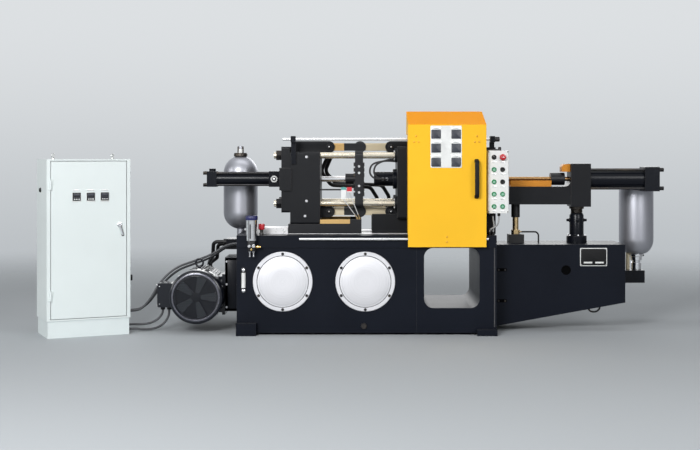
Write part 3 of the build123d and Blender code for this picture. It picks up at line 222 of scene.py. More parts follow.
bedPaint = paint("bedPaint", rgb(0.0046, 0.0064, 0.0120), 0.40, peel=0.3, rub=0.22, specular=0.13, dust=0.05)
castPaint = paint("castPaint", rgb(0.0086, 0.0092, 0.0112), 0.38, edge=0.004, peel=0.5, rub=0.28, specular=0.16,
                  dust=0.05)
frontPaint = paint("frontPaint", rgb(0.0056, 0.0066, 0.0102), 0.22, edge=0.003, rub=0.28, specular=0.18, dust=0.05)
motorPaint = paint("motorPaint", rgb(0.0044, 0.0058, 0.0110), 0.20, edge=0.0015, rub=0.2, dust=0.04, coat=0.35,
                   specular=0.35)
# the hood's top faces are painted a darker, deeper orange: painted shade of the light on its top
guardYellow = paint("guardYellow", rgb(0.93, 0.52, 0.032), 0.50, edge=0.002, rub=0.12, peel=0.12, dust=0.0,
                    rubColour=rgb(0.45, 0.22, 0.01), cloudy=0.03, specular=0.03, shadedTopColour=rgb(0.98, 0.36, 0.004))
trayOrange = paint("trayOrange", rgb(0.62, 0.24, 0.022), 0.45, rub=0.25, rubColour=rgb(0.35, 0.25, 0.1),
                   specular=0.25, dust=0.03)
cabinetWhite = paint("cabinetWhite", rgb(0.735, 0.795, 0.79), 0.42, edge=0.003, rub=0.1, peel=0.2, dust=0.03,
                     rubColour=rgb(0.45, 0.46, 0.45), cloudy=0.02)
plinthWhite = paint("plinthWhite", rgb(0.72, 0.785, 0.785), 0.46, edge=0.002, rub=0.2, dust=0.05,
                    rubColour=rgb(0.3, 0.3, 0.29), cloudy=0.03)
panelWhite = paint("panelWhite", rgb(0.78, 0.79, 0.785), 0.36, edge=0.002, rub=0.12, peel=0.15, dust=0.03,
                   rubColour=rgb(0.4, 0.4, 0.4), cloudy=0.02)
bottleGrey = paint("bottleGrey", rgb(0.42, 0.425, 0.465), 0.38, edge=0.004, rub=0.1, peel=0.12, dust=0.02,
                   cloudy=0.04, specular=0.3, metal=0.8)
linkCream = paint("linkCream", rgb(0.60, 0.52, 0.36), 0.45, edge=0.003, rubColour=rgb(0.22, 0.15, 0.07))
guardBolt = paint("guardBolt", rgb(0.80, 0.40, 0.018), 0.4, edge=0.001, rub=0.3, rubColour=rgb(0.4, 0.2, 0.02))
seamPaint = paint("seamPaint", rgb(0.028, 0.028, 0.032), 0.4, edge=0.001, rub=0.3)
tieSteel = steel("tieSteel", rgb(0.80, 0.73, 0.60), 0.20, 6, 0.45, (1, 30, 30), edge=0, bumpSize=0.0, streak=0.04)
railSteel = steel("railSteel", rgb(0.90, 0.90, 0.91), 0.26, 6, 0.06, (1, 30, 30), edge=0, bumpSize=0.0, streak=0.04,
                  metal=0.7)
slideSteel = steel("slideSteel", rgb(0.86, 0.86, 0.87), 0.30, 8, 0.12, (3, 60, 3), bumpSize=0.05, metal=0.35)
linkSteel = steel("linkSteel", rgb(0.62, 0.47, 0.27), 0.36, 14, 0.45, (4, 4, 30))
boltSteel = steel("boltSteel", rgb(0.62, 0.62, 0.64), 0.30, 120, 0.2)
blackOxide = steel("blackOxide", rgb(0.045, 0.044, 0.046), 0.42, 160, 0.2)
brass = steel("brass", rgb(0.80, 0.55, 0.20), 0.22, 150, 0.3, stainColour=rgb(0.25, 0.14, 0.04))
zincSheet = steel("zincSheet", rgb(0.66, 0.67, 0.66), 0.38, 28, 0.1, edge=0.001)
bowlChrome = steel("bowlChrome", rgb(0.90, 0.90, 0.92), 0.09, 10, 0.05, (1, 1, 30), bumpSize=0.02)
cowlRim = steel("cowlRim", rgb(0.20, 0.20, 0.23), 0.25, 150, 0.1, bumpSize=0.04)
cableGrey = plastic("cableGrey", rgb(0.070, 0.073, 0.080), 0.46, 500)
cableBlack = plastic("cableBlack", rgb(0.020, 0.020, 0.022), 0.5, 500)
cablePale = plastic("cablePale", rgb(0.32, 0.33, 0.34), 0.44, 500)
blackPlastic = plastic("blackPlastic", rgb(0.006, 0.006, 0.007), 0.42, specular=0.3)
whitePlastic = plastic("whitePlastic", rgb(0.74, 0.75, 0.74), 0.4)
greenPlastic = plastic("greenPlastic", rgb(0.010, 0.235, 0.085), 0.26, coat=0.4)
mintPlastic = plastic("mintPlastic", rgb(0.26, 0.50, 0.38), 0.3)
redPlastic = plastic("redPlastic", rgb(0.44, 0.008, 0.016), 0.28, coat=0.4)
bluePlastic = plastic("bluePlastic", rgb(0.012, 0.014, 0.085), 0.35)
slatePlastic = plastic("slatePlastic", rgb(0.030, 0.034, 0.046), 0.34)
plateBlack = plastic("plateBlack", rgb(0.005, 0.005, 0.006), 0.55, 300, 0.05, specular=0.2)
# painted shade: near-black matte that stands in for the shade inside open slots and a recessed plug
holeShade = plastic("holeShade", rgb(0.0012, 0.0012, 0.0014), 0.85, specular=0.05)
fanGrey = plastic("fanGrey", rgb(0.10, 0.115, 0.13), 0.4)


# two finishes on one solid: the second one lies inside the given stretch of each axis
def inside(f, ranges, fade=0.0008):
    mask = None
    for axis, (low, high) in ranges.items():
        place = f.axis(axis)
        share = f.band(place, low, low + fade) * f.band(place, high, high - fade)
        mask = share if mask is None else mask * share
    return mask


def parted(name, first, second, ranges, edge=0.002):
    f = Finish(name)
    normal = f.softEdge(edge)
    mask = inside(f, ranges)
    cloud = f.noise(8, detail=4)
    grain = f.noise(260, detail=3)
    spread = f.band(cloud, 0.25, 0.75)
    tone = f.mix(mask, *[f.vary(spread, side["colour"], 0.9, 1.1) for side in (first, second)])
    tone = f.mix(f.rubbed(normal, grain, 0.25), tone, bareMetal)
    rough, metal = [first[key] + mask * (second[key] - first[key]) for key in ("rough", "metal")]
    return f.set(colour=tone, rough=rough + (cloud - 0.5) * 0.12, metal=metal, specular=0.35,
                 normal=f.bump(grain, 0.03, fineDepth, normal))


paintSide = {"colour": rgb(0.0064, 0.0066, 0.0090), "rough": 0.34, "metal": 0.0}
rubberSide = {"colour": rgb(0.0085, 0.0085, 0.0095), "rough": 0.50, "metal": 0.0}
chromeSide = {"colour": rgb(0.88, 0.88, 0.90), "rough": 0.10, "metal": 1.0}
brassSide = {"colour": rgb(0.66, 0.48, 0.25), "rough": 0.26, "metal": 1.0}
bronzeSide = {"colour": rgb(0.36, 0.21, 0.09), "rough": 0.22, "metal": 1.0}
goldSide = {"colour": rgb(0.56, 0.36, 0.14), "rough": 0.40, "metal": 0.5}
creamSide = {"colour": rgb(0.66, 0.58, 0.42), "rough": 0.42, "metal": 0.1}
rodAndHead = parted("rodAndHead", paintSide, chromeSide, {"X": (-2.0, -0.131)}, edge=0)
rodAndCoupling = parted("rodAndCoupling", bronzeSide, paintSide, {"X": (1.1545, 1.2435)}, edge=0)
shoeStrip = parted("shoeStrip", paintSide, goldSide, {"X": (-0.283, -0.100), "Z": (0.660, 0.70)})
pipesAndNut = parted("pipesAndNut", rubberSide, brassSide, {"X": (0.905, 0.975), "Z": (0.585, 0.690)})
upperRear = parted("upperRear", goldSide, paintSide, {"X": (-0.138, 1.0)})
lowerRear = parted("lowerRear", creamSide, paintSide, {"X": (-0.138, 1.0)})

# limit switches: black bar, white and red housings, pale wires
switchWhite = rgb(0.80, 0.82, 0.82)
leftSwitch = (-0.1555, -0.1245)
rightSwitch = (-0.1195, -0.0885)
switchSettings = {"wire": rgb(0.55, 0.56, 0.57), "zones": [
    (rgb(0.006, 0.006, 0.008), {"X": (-1.0, -0.1555)}),
    (switchWhite, {"X": leftSwitch, "Z": (0.8095, 0.90)}),
    (rgb(0.10, 0.36, 0.33), {"X": leftSwitch, "Z": (0.866, 0.90)}),
    (switchWhite, {"X": rightSwitch, "Z": (0.8515, 0.90)}),
    (rgb(0.60, 0.020, 0.035), {"X": rightSwitch, "Z": (0.857, 0.90)}),
    (rgb(0.30, 0.20, 0.08), {"Z": (0.60, 0.716)})]}


def switchPaint(name, wire, zones):
    f = Finish(name)
    cloud = f.noise(30, detail=4)
    tone = wire
    for colour, ranges in zones:
        tone = f.mix(inside(f, ranges), tone, colour)
    return f.set(colour=tone, rough=0.4 + (cloud - 0.5) * 0.2,
                 normal=f.bump(f.noise(500), 0.1, fineDepth, f.softEdge(0.0015)))


switchFinish = switchPaint("switchFinish", **switchSettings)

# faced aluminium: rings turned round the middle of each cover, fading into a fine haze
turnedSettings = {
    "middles": [(-503, 321), (-8, 321)], "rings": 260, "rough": 0.42, "metal": 0.35, "dark": rgb(0.70, 0.70, 0.73),
    "bright": rgb(0.80, 0.80, 0.83), "haze": rgb(0.74, 0.74, 0.78),
}


def turnedCover(name, middles, rings, rough, metal, dark, bright, haze):
    f = Finish(name)
    reach = [f.distance("XZ", (x / 1000, z / 1000)) for x, z in middles]
    nearest = f.node("Math", {"operation": "MINIMUM"}, {0: reach[0], 1: reach[1]})
    lines = f.node("TexNoise", {"noise_dimensions": "1D"}, {"W": nearest, "Scale": rings, "Detail": 4})
    cloud = f.noise(5, detail=5)
    tone = f.mix(f.band(lines, 0.3, 0.7), dark, bright)
    tone = f.mix(f.band(cloud, 0.5, 0.85) * 0.25, tone, haze)
    return f.set(colour=tone, rough=rough + (lines - 0.5) * 0.15 + (cloud - 0.5) * 0.1, metal=metal,
                 normal=f.bump(lines, 0.06, fineDepth, f.softEdge(0.0012)))


coverAluminium = turnedCover("coverAluminium", **turnedSettings)
print("finishes mixed:", len(bpy.data.materials))


# mesh tools, all in mm: places and directions first
def move(x, y, z):
    return Matrix.Translation((x, y, z))


def spin(turn):
    return Matrix.Rotation(turn, 4, "Z")


def aim(place, axis, turn=0):
    facing = Vector((0, 0, 1)).rotation_difference(Vector(axis)).to_matrix().to_4x4()
    return move(*place) @ facing @ spin(turn)


def toFront(x, y, z, turn=0):
    return aim((x, y, z), (0, -1, 0), turn)


def around(steps):
    return [2 * pi * i / steps for i in range(steps)]


def onCircle(radius, count, level, start=0):
    return [move(radius * cos(start + turn), radius * sin(start + turn), level) for turn in around(count)]


def corners(halfWidth, halfHeight):
    return [(x, z) for x in (-halfWidth, halfWidth) for z in (-halfHeight, halfHeight)]


# rings of points joined into skins
pointRadius = 0.001
leastRadius = 0.2
capBoth, capNone, capFirst, capLast = (True, True), (False, False), (True, False), (False, True)


def addRing(bm, points, matrix=Matrix()):
    return [bm.verts.new(matrix @ Vector(point)) for point in points]


def polarRing(bm, radii, level, matrix):
    return addRing(bm, [(r * cos(a), r * sin(a), level) for r, a in zip(radii, around(len(radii)))], matrix)


def skin(bm, rings, finish=0, caps=capBoth):
    made = []
    for low, high in zip(rings, rings[1:]):
        if len(low) == 1 or len(high) == 1:
            tip, ring = (low[0], high) if len(low) == 1 else (high[0], low)
            for i in range(len(ring)):
                made.append(bm.faces.new((tip, ring[i], ring[(i + 1) % len(ring)])))
        else:
            for i in range(len(low)):
                j = (i + 1) % len(low)
                made.append(bm.faces.new((low[i], low[j], high[j], high[i])))
    for wanted, ring in zip(caps, (rings[0], rings[-1])):
        if wanted and len(ring) > 2:
            made.append(bm.faces.new(ring))
    for face in made:
        face.material_index = finish


def lathe(bm, profile, matrix, steps, finish=0, caps=capBoth):
    skin(bm, [polarRing(bm, [radius] * (1 if radius < pointRadius else steps), level, matrix)
              for radius, level in profile], finish, caps)


def roundedRing(bm, width, height, radius, level, matrix, steps=6):
    points = []
    for sideX, sideY, start in ((1, 1, 0), (-1, 1, 1), (-1, -1, 2), (1, -1, 3)):
        for i in range(steps + 1):
            angle = (start + i / steps) * pi / 2
            points.append((sideX * (width / 2 - radius) + radius * cos(angle),
                           sideY * (height / 2 - radius) + radius * sin(angle), level))
    return addRing(bm, points, matrix)


# a rounded plate that stands up from its own plane, edges broken all round
def plate(bm, width, height, thick, matrix, radius, broken, finish=0):
    levels = [(0, 0), (thick - broken, 0), (thick - broken * 0.3, broken * 0.3), (thick, broken)]
    skin(bm, [roundedRing(bm, width - 2 * inset, height - 2 * inset, max(radius - inset, leastRadius), level, matrix)
              for level, inset in levels], finish)


def hexHead(bm, matrix, across, height, finish=0):
    radius = across / sqrt(3)
    lathe(bm, [(radius, 0), (radius, height * 0.82), (radius * 0.9, height), (0, height)], matrix, 6, finish)


def socketHead(bm, matrix, radius, height, finish=0):
    lathe(bm, [(radius, 0), (radius, height * 0.86), (radius * 0.9, height), (radius * 0.56, height),
               (radius * 0.52, height * 0.4), (0, height * 0.36)], matrix, 18, finish)


def rivet(bm, matrix, radius, finish=0):
    lathe(bm, [(radius, 0), (radius * 0.9, radius * 0.35), (radius * 0.55, radius * 0.6), (0, radius * 0.7)],
          matrix, 16, finish)


# a round bar bent along a smooth line through its points
def bentBar(bm, points, radius, finish, steps=10, sides=12):
    path = []
    ends = [Vector(point) for point in (points[0], *points, points[-1])]
    for a, b, c, d in zip(ends, ends[1:], ends[2:], ends[3:]):
        for t in [i / steps for i in range(steps)]:
            path.append((2 * b + (c - a) * t + (2 * a - 5 * b + 4 * c - d) * t * t
                         + (3 * b - a - 3 * c + d) * t ** 3) / 2)
    path.append(ends[-1])
    across = None
    rings = []
    for i, place in enumerate(path):
        along = (path[min(i + 1, len(path) - 1)] - path[max(i - 1, 0)]).normalized()
        across = along.orthogonal() if across is None else across - along * across.dot(along)
        across.normalize()
        other = along.cross(across)
        rings.append(addRing(bm, [place + (across * cos(a) + other * sin(a)) * radius for a in around(sides)]))
    skin(bm, rings, finish)


sharpAngle = radians(32)


# a piece is drawn in mm and kept in metres
def piece(name, bm, finishes, body):
    bm.transform(Matrix.Scale(1 / 1000, 4))
    bmesh.ops.recalc_face_normals(bm, faces=bm.faces[:])
    for edge in bm.edges:
        edge.smooth = len(edge.link_faces) == 2 and edge.calc_face_angle(0) < sharpAngle
    for face in bm.faces:
        face.smooth = True
    mesh = bpy.data.meshes.new(name)
    bm.to_mesh(mesh)
    bm.free()
    made = bpy.data.objects.new(name, mesh)
    for finish in finishes:
        mesh.materials.append(finish)
    scene.collection.objects.link(made)
    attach(made, body)
    return made


# cables: the same routes as the solids have
def cable(name, points, diameter, length, finish):
    curve = bpy.data.curves.new(name, "CURVE")
    curve.dimensions = "3D"
    curve.bevel_depth = diameter / 2
    curve.bevel_resolution = 5
    curve.resolution_u = 16
    curve.use_fill_caps = True
    spline = curve.splines.new("NURBS")
    spline.points.add(len(points) - 1)
    for point, place in zip(spline.points, points):
        point.co = (place[0] / 1000, place[1] / 1000, place[2] / 1000, 1)
    spline.order_u = 3
    spline.use_endpoint_u = True
    curve.materials.append(finish)
    made = bpy.data.objects.new(name + "_run", curve)
    scene.collection.objects.link(made)
    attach(made, "machine")
    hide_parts(name)
    [x / 1000 for x in points[0]]
    length / 1000


cableSettings = {  # name: diameter in m, length in mm, finish, route in mm
    "control_cable": (0.014, 859, cableGrey, [
        (-1462.39, -184.24, 124), (-1425, -167, 124), (-1386, -146, 131), (-1338, -100, 185), (-1282, -56, 296),
        (-1190, -20, 378), (-1085, 12, 412), (-975, 42, 450), (-905, 56, 500), (-845, 60, 522), (-798.3, 60, 522)]),
    "sensor_cable": (0.014, 860, cableGrey, [
        (-1481.40, -143.45, 124), (-1434, -122, 124), (-1394, -99, 129), (-1341, -60, 172), (-1277, -20, 275),
        (-1188, 18, 357), (-1083, 48, 394), (-973, 78, 432), (-905, 92, 486), (-845, 96, 508), (-798.3, 96, 508)]),
    "motor_cable": (0.014, 261, cableGrey, [
        (-1459.37, -204.90, 44), (-1425, -189, 44), (-1390, -173, 41), (-1343, -153, 42), (-1298, -137, 58),
        (-1270, -131.5, 84), (-1256, -130, 109), (-1256, -130, 126.7)]),
    "pump_cable": (0.014, 320, cableGrey, [
        (-1444.58, -236.62, 22), (-1412, -221.5, 22), (-1375, -204, 14), (-1325, -178, 11), (-1275, -150, 21),
        (-1240, -135, 50), (-1221, -130.5, 84), (-1217, -130, 110), (-1217, -130, 126.7)]),
    "panel_cable_left": (0.009, 99, cablePale, [
        (764, -295, 711.7), (764, -295, 694), (769, -301, 672), (770, -307, 650), (764, -308, 632),
        (764, -308, 615.3)]),
    "panel_cable_right": (0.009, 131, cablePale, [
        (800, -295, 711.7), (800, -295, 694), (797, -303, 672), (788, -314, 656), (772, -322, 646),
        (755, -320, 637), (742, -312, 629), (742, -312, 615.3)]),
}
for cableName, (diameter, length, finish, route) in cableSettings.items():
    cable(cableName, route, diameter, length, finish)
print("cables laid:", len(cableSettings))

# round tank covers: rim, a groove with a black floor as painted shade of the groove line, and raised face, with black
# cap screws
coverSettings = {
    "middles": turnedSettings["middles"], "front": -350, "rim": 179, "thick": 12, "groove": 154, "grooveHalf": 1.5,
    "grooveDepth": 4, "raised": 141, "boltCircle": 166.5, "bolts": 6, "head": (8.5, 6), "steps": 96,
}


def tankCovers(middles, front, rim, thick, groove, grooveHalf, grooveDepth, raised, boltCircle, bolts, head, steps):
    bm = bmesh.new()
    outer, inner, floor = groove + grooveHalf, groove - grooveHalf, thick - grooveDepth
    for x, z in middles:
        face = toFront(x, front, z)
        edge = [(rim, 0), (rim, thick - 3), (rim - 3, thick), (outer + 0.5, thick), (outer, floor)]
        # painted shade: the groove's floor is black so the groove reads as a dark line
        grooveShadeFloor = [(outer, floor), (inner, floor)]
        raisedFace = [(inner, floor), (inner - 0.5, thick), (raised + 2, thick), (raised, thick + 1),
                      (raised - 1, thick + 3), (raised - 4, thick + 4), (60, thick + 4.2), (0, thick + 4.2)]
        for profile, finish in ((edge, 0), (grooveShadeFloor, 1), (raisedFace, 0)):
            lathe(bm, profile, face, steps, finish, capNone)
        for spot in onCircle(boltCircle, bolts, thick, pi / 2):
            socketHead(bm, face @ spot, *head, 2)
    made = piece("tank_cover_discs", bm, [coverAluminium, blackPlastic, blackOxide], "machine")
    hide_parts("tank_covers")


tankCovers(**coverSettings)

# level gauge: white backed tube between two bright dome nuts
gaugeSettings = {
    "place": (-738, -350, 329), "height": 154, "width": 26, "thick": 5, "tube": 12.2, "tubeHalf": 45, "tubeOut": 7.5,
    "nutGap": 62, "nut": [(11.5, 0), (11.5, 6), (10, 10), (6, 12.5), (0, 13.5)],
}


def levelGauge(place, height, width, thick, tube, tubeHalf, tubeOut, nutGap, nut):
    bm = bmesh.new()
    face = toFront(*place)
    upright = face @ Matrix.Rotation(pi / 2, 4, "X") @ move(0, tubeOut, 0)
    plate(bm, width, height, thick, face, 10, 1)
    lathe(bm, [(tube, -tubeHalf), (tube, tubeHalf)], upright, 20, 1)
    for end in (-nutGap, nutGap):
        lathe(bm, nut, face @ move(0, end, thick - 1), 20, 2)
    made = piece("level_gauge_tube", bm, [blackPlastic, whitePlastic, bowlChrome], "machine")
    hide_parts("level_gauge")


levelGauge(**gaugeSettings)

# lubricator: chrome bowl, blue cap, valve block and its small fittings
oilerSettings = {
    "x": -686, "y": -393.5, "low": 566, "high": 692, "capTop": 718, "bowl": 33, "cap": 36.5, "ribs": 28,
    "ribDepth": 1.2, "blockBottom": 506, "blockSide": 46, "wall": -356, "strips": [(-6, 7), (24, 6)],
    "plugs": [(-13, 538, 17, 3), (13, 538, 19, 3), (0, 518, 12, 4)], "fittingZ": 532,
    "fitting": [(6, 0), (6, 10), (8.5, 10), (8.5, 18), (5, 20), (5, 32), (0, 32)],
    "nipple": [(4, 7), (4, 26), (5.5, 27), (5.5, 34), (0, 35)],
}


def lubricator(x, y, low, high, capTop, bowl, cap, ribs, ribDepth, blockBottom, blockSide, wall, strips, plugs,
               fittingZ, fitting, nipple):
    bm = bmesh.new()
    base = move(x, y, 0)
    lathe(bm, [(bowl * 0.8, low), (bowl, low + 4), (bowl, high)], base, 40)
    for shift, wide in strips:
        turn = atan2(shift, sqrt(bowl * bowl - shift * shift))
        strip = base @ spin(turn) @ toFront(0, -bowl, (low + high) / 2 - 4)
        plate(bm, wide, high - low - 40, 1.2, strip, 2, 0.4, 2)
    capRows = [(high, 0.97), (high + 3, 1.0), (capTop - 5, 1.0), (capTop - 1, 0.94), (capTop, 0.86)]
    skin(bm, [polarRing(bm, [cap * grow, cap * grow - ribDepth] * ribs, level, base) for level, grow in capRows], 1)
    lathe(bm, [(9, capTop), (9, capTop + 4), (6, capTop + 6), (0, capTop + 6)], base, 20, 2)
    blockFront = y - blockSide / 2
    plate(bm, blockSide, wall - blockFront, low - blockBottom, move(x, (blockFront + wall) / 2, blockBottom), 5, 2, 2)
    for shift, level, across, finish in plugs:
        hexHead(bm, toFront(x + shift, blockFront, level, 0.3), across, 8, finish)
    lathe(bm, fitting, aim((x + blockSide / 2, y, fittingZ), (1, 0, 0)), 16, 4)
    for shift in (-11, 11):
        down = aim((x + shift, y, blockBottom), (0, 0, -1))
        hexHead(bm, down, 14, 8, 3)
        lathe(bm, nipple, down, 14, 3)
    made = piece("lubricator_bowl", bm, [bowlChrome, bluePlastic, castPaint, boltSteel, brass], "machine")
    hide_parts("lubricator")


lubricator(**oilerSettings)

# shut-off valve: red lobed knob on a black hexagon post
valveSettings = {"place": (-632, -330, 597), "post": 34, "height": 70, "knob": 20, "lobes": 8}


def shutoffValve(place, post, height, knob, lobes):
    bm = bmesh.new()
    base = move(*place)
    hexHead(bm, base, 22, 16, 1)
    lathe(bm, [(10, 15), (10, post - 4), (11.5, post - 3), (11.5, post)], base, 20, 1)
    lobed = [knob * (0.95 + 0.05 * cos(lobes * a)) for a in around(lobes * 6)]
    knobRows = [(post, 0.75), (post + 4, 0.95), (post + 12, 1.0), (height - 8, 1.0), (height - 2, 0.93), (height, 0.78)]
    skin(bm, [polarRing(bm, [radius * grow for radius in lobed], level, base) for level, grow in knobRows])
    lathe(bm, [(6, height), (6, height + 1), (0, height + 1.4)], base, 16, 2)
    made = piece("shutoff_knob", bm, [redPlastic, blackOxide, boltSteel], "machine")
    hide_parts("shutoff_valve")


shutoffValve(**valveSettings)
print("bed fittings made")

# push buttons: bright bezels, coloured caps, one selector and one stop button
buttonSettings = {
    "front": -340, "columns": (766, 817), "topRow": 1066.5, "pitch": 74,
    "rows": [("selector", "stop"), ("green", "black"), ("green", "black"), ("green", "green"), ("green", "green")],
    "stopNeck": [(18.5, 0), (18.5, 3), (16.5, 5), (12.5, 5), (12.5, 12)],
    "stopCap": [(12.5, 11), (18.5, 13), (19.8, 16), (19.5, 20), (16.5, 23.8), (9, 25.5), (0, 26)],
    "bezel": [(14.8, 0), (14.8, 2.8), (13.8, 4.2), (11.6, 4.2), (11.2, 2)],
    "cap": [(11.1, 1), (11.1, 6.6), (10.4, 7.8), (8.8, 7.2), (4, 6.6), (0, 6.6)],
    "lens": [(7.2, 6), (6.8, 7.4), (0, 7.8)], "selectorTurn": 0.6,
}


def pushButtons(front, columns, topRow, pitch, rows, stopNeck, stopCap, bezel, cap, lens, selectorTurn):
    bm = bmesh.new()
    for row, kinds in enumerate(rows):
        for x, kind in zip(columns, kinds):
            spot = toFront(x, front, topRow - row * pitch)
            if kind == "stop":
                lathe(bm, stopNeck, spot, 32)
                lathe(bm, stopCap, spot, 36, 2)
                plate(bm, 16, 3, 0.8, spot @ move(0, 0, 25.5), 1, 0.2)
                continue
            finish = 1 if kind == "green" else 3
            lathe(bm, bezel, spot, 32, finish)
            lathe(bm, cap, spot, 32, finish)
            if kind == "green":
                lathe(bm, lens, spot, 28, 5)
            if kind == "selector":
                turned = spot @ spin(selectorTurn)
                plate(bm, 6.2, 21, 5.5, turned @ move(0, 0, 6.4), 2.8, 1, 3)
                plate(bm, 1.2, 9, 0.4, turned @ move(0, 5, 11.9), 0.4, 0.1, 4)
    made = piece("button_caps", bm, [bowlChrome, greenPlastic, redPlastic, blackPlastic, whitePlastic, mintPlastic],
                 "machine")
    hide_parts("push_buttons")


pushButtons(**buttonSettings)

# button box: corner screws and blank legend strips
panelSettings = {
    "left": 727, "width": 129, "bottom": 730, "height": 377, "front": -340, "inset": 8,
    "screw": [(3.6, 0), (3.6, 1.2), (2.6, 2.2), (1.2, 2.2), (1, 1.2), (0, 1.2)], "stripDrop": 27,
    "strip": (27, 8.5, 0.9),
}


def panelTrim(left, width, bottom, height, front, inset, screw, stripDrop, strip):
    bm = bmesh.new()
    for x, z in corners(width / 2 - inset, height / 2 - inset):
        lathe(bm, screw, toFront(left + width / 2 + x, front, bottom + height / 2 + z), 16)
    for row in range(len(buttonSettings["rows"])):
        for x in buttonSettings["columns"]:
            spot = toFront(x, front, buttonSettings["topRow"] - row * buttonSettings["pitch"] - stripDrop)
            plate(bm, *strip, spot, 1, 0.3, 1)
    piece("panel_trim", bm, [blackOxide, zincSheet], "machine")


panelTrim(**panelSettings)

# guard: blank notice plate with plain tiles, screws and the grip
hoodFront = -390
noticeSettings = {
    "x": 474.5, "z": 1129.5, "width": 187, "height": 252, "tile": (58, 54), "columns": (-60, 60),
    "rows": (74.5, -8.5, -93), "strip": 16, "stripUp": 38, "rivetIn": 7,
}


def noticePlate(x, z, width, height, tile, columns, rows, strip, stripUp, rivetIn):
    bm = bmesh.new()
    face = toFront(x, hoodFront, z)
    plate(bm, width, height, 1.6, face, 6, 0.5)
    for spot in [face @ move(across, up, 1.4) for across in columns for up in rows]:
        plate(bm, *tile, 0.9, spot, 4, 0.3, 1)
        plate(bm, tile[0], strip, 0.9, spot @ move(0, stripUp, 0), 2, 0.3, 2)
    for across, up in corners(width / 2 - rivetIn, height / 2 - rivetIn):
        rivet(bm, face @ move(across, up, 1.5), 2.8, 3)
    piece("notice_plate", bm, [whitePlastic, slatePlastic, zincSheet, boltSteel], "guard")


hoodScrewSettings = {
    "radius": 6.5,
    "places": [(294.6, 1193.4), (658.6, 1193.4), (479.6, 590.6), (479.6, 560.8), (283, 1158), (309, 1158),
        (646, 1158), (672, 1158)],
}


def hoodScrews(radius, places):
    bm = bmesh.new()
    for x, z in places:
        rivet(bm, toFront(x, hoodFront, z), radius)
    piece("hood_screws", bm, [guardBolt], "guard")


gripSettings = {
    "x": 656, "z": 938, "length": 229, "reach": 44, "width": 26, "thick": 16, "bend": 20, "bendSteps": 8, "sides": 24,
    "square": 0.6,
}


def guardGrip(x, z, length, reach, width, thick, bend, bendSteps, sides, square):
    bm = bmesh.new()
    half, out = length / 2 - thick / 2, reach - thick / 2
    path = [(0, -half), (out - bend, -half)]
    for i in range(1, bendSteps + 1):
        angle = i / bendSteps * pi / 2
        path.append((out - bend + bend * sin(angle), -half + bend * (1 - cos(angle))))
    path += [(deep, -level) for deep, level in reversed(path)]
    section = [[copysign(abs(part) ** square, part) for part in (cos(a), sin(a))] for a in around(sides)]
    sideways = Vector((1, 0, 0))
    rings = []
    for i, (deep, level) in enumerate(path):
        before, after = path[max(i - 1, 0)], path[min(i + 1, len(path) - 1)]
        across = sideways.cross(Vector((0, before[0] - after[0], after[1] - before[1])).normalized())
        middle = Vector((x, hoodFront - deep, z + level))
        rings.append(addRing(bm, [middle + sideways * (width / 2 * wide) + across * (thick / 2 * high)
                                  for wide, high in section]))
    skin(bm, rings)
    for end in (-half, half):
        plate(bm, width, 24, 4, toFront(x, hoodFront, z + end), 8, 1)
    made = piece("guard_grip", bm, [plateBlack], "guard")
    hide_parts("guard_handle")


noticePlate(**noticeSettings)
hoodScrews(**hoodScrewSettings)
guardGrip(**gripSettings)
print("guard dressed")

# cabinet door: three timers with blank strips above them, and the swing lever of the lock
cabinetPlace = move(-1714, -279.5, 0) @ spin(radians(25))
doorSettings = {
    "front": -150, "timerX": 9, "pitch": 84, "timerZ": 833, "side": 48, "reach": 8, "lock": (183, 662),
    "leverEnd": (203, 600), "leverSides": 12, "rosette": [(16, 0), (16, 4), (14, 6.5), (10.5, 7), (10, 9)],
    "barrel": [(10, 9), (10, 12), (8.5, 13.6), (3.5, 13.6), (3, 11), (0, 11)],
    "rest": [(7.5, 0), (7.5, 3), (6, 4.5), (6, 7.6), (0, 7.6)],
}


def doorDress(front, timerX, pitch, timerZ, side, reach, lock, leverEnd, leverSides, rosette, barrel, rest):
    bm = bmesh.new()
    door = cabinetPlace @ toFront(0, front, 0)
    for i in (-1, 0, 1):
        timer = door @ move(timerX + i * pitch, timerZ, 0)
        plate(bm, side + 4, side + 8, 3, timer @ move(0, -3, 0), 3, 0.8, 1)
        plate(bm, side, side, reach - 1, timer, 3, 1.5)
        face = timer @ move(0, 0, reach - 1.2)
        plate(bm, side * 0.80, side * 0.30, 1.2, face @ move(0, side * 0.24, 0), 2, 0.4, 3)
        for k in (-1, 0, 1):
            for tall, up, thick, finish in ((0.15, -0.10, 1.6, 3), (0.12, -0.32, 1.4, 4)):
                spot = face @ move(k * side * 0.27, side * up, 0)
                plate(bm, side * 0.19, side * tall, thick, spot, 1.5, 0.4, finish)
        plate(bm, side * 0.86, 8, 0.8, timer @ move(0, 38, 0), 1, 0.3, 4)
    lockPlace = door @ move(*lock, 0)
    lathe(bm, rosette, lockPlace, 32, 2, capFirst)
    lathe(bm, barrel, lockPlace, 28, 2)
    lever = Vector(leverEnd) - Vector(lock)
    turned = lockPlace @ spin(atan2(lever.y, lever.x))
    rows = [(0, 10, 9, 13.5), (15, 8.5, 8.5, 13.8), (40, 6.5, 8, 13.6), (lever.length - 12, 7.5, 7.4, 13.5),
            (lever.length, 5.5, 8, 13)]
    skin(bm, [addRing(bm, [(along, wide * cos(a), (low + high) / 2 + (high - low) / 2 * sin(a))
                           for a in around(leverSides)], turned) for along, wide, low, high in rows], 2)
    lathe(bm, rest, door @ move(*leverEnd, 0), 24)
    made = piece("door_timers", bm, [blackPlastic, whitePlastic, bowlChrome, slatePlastic, zincSheet], "door")
    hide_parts("door_fittings")


doorDress(**doorSettings)

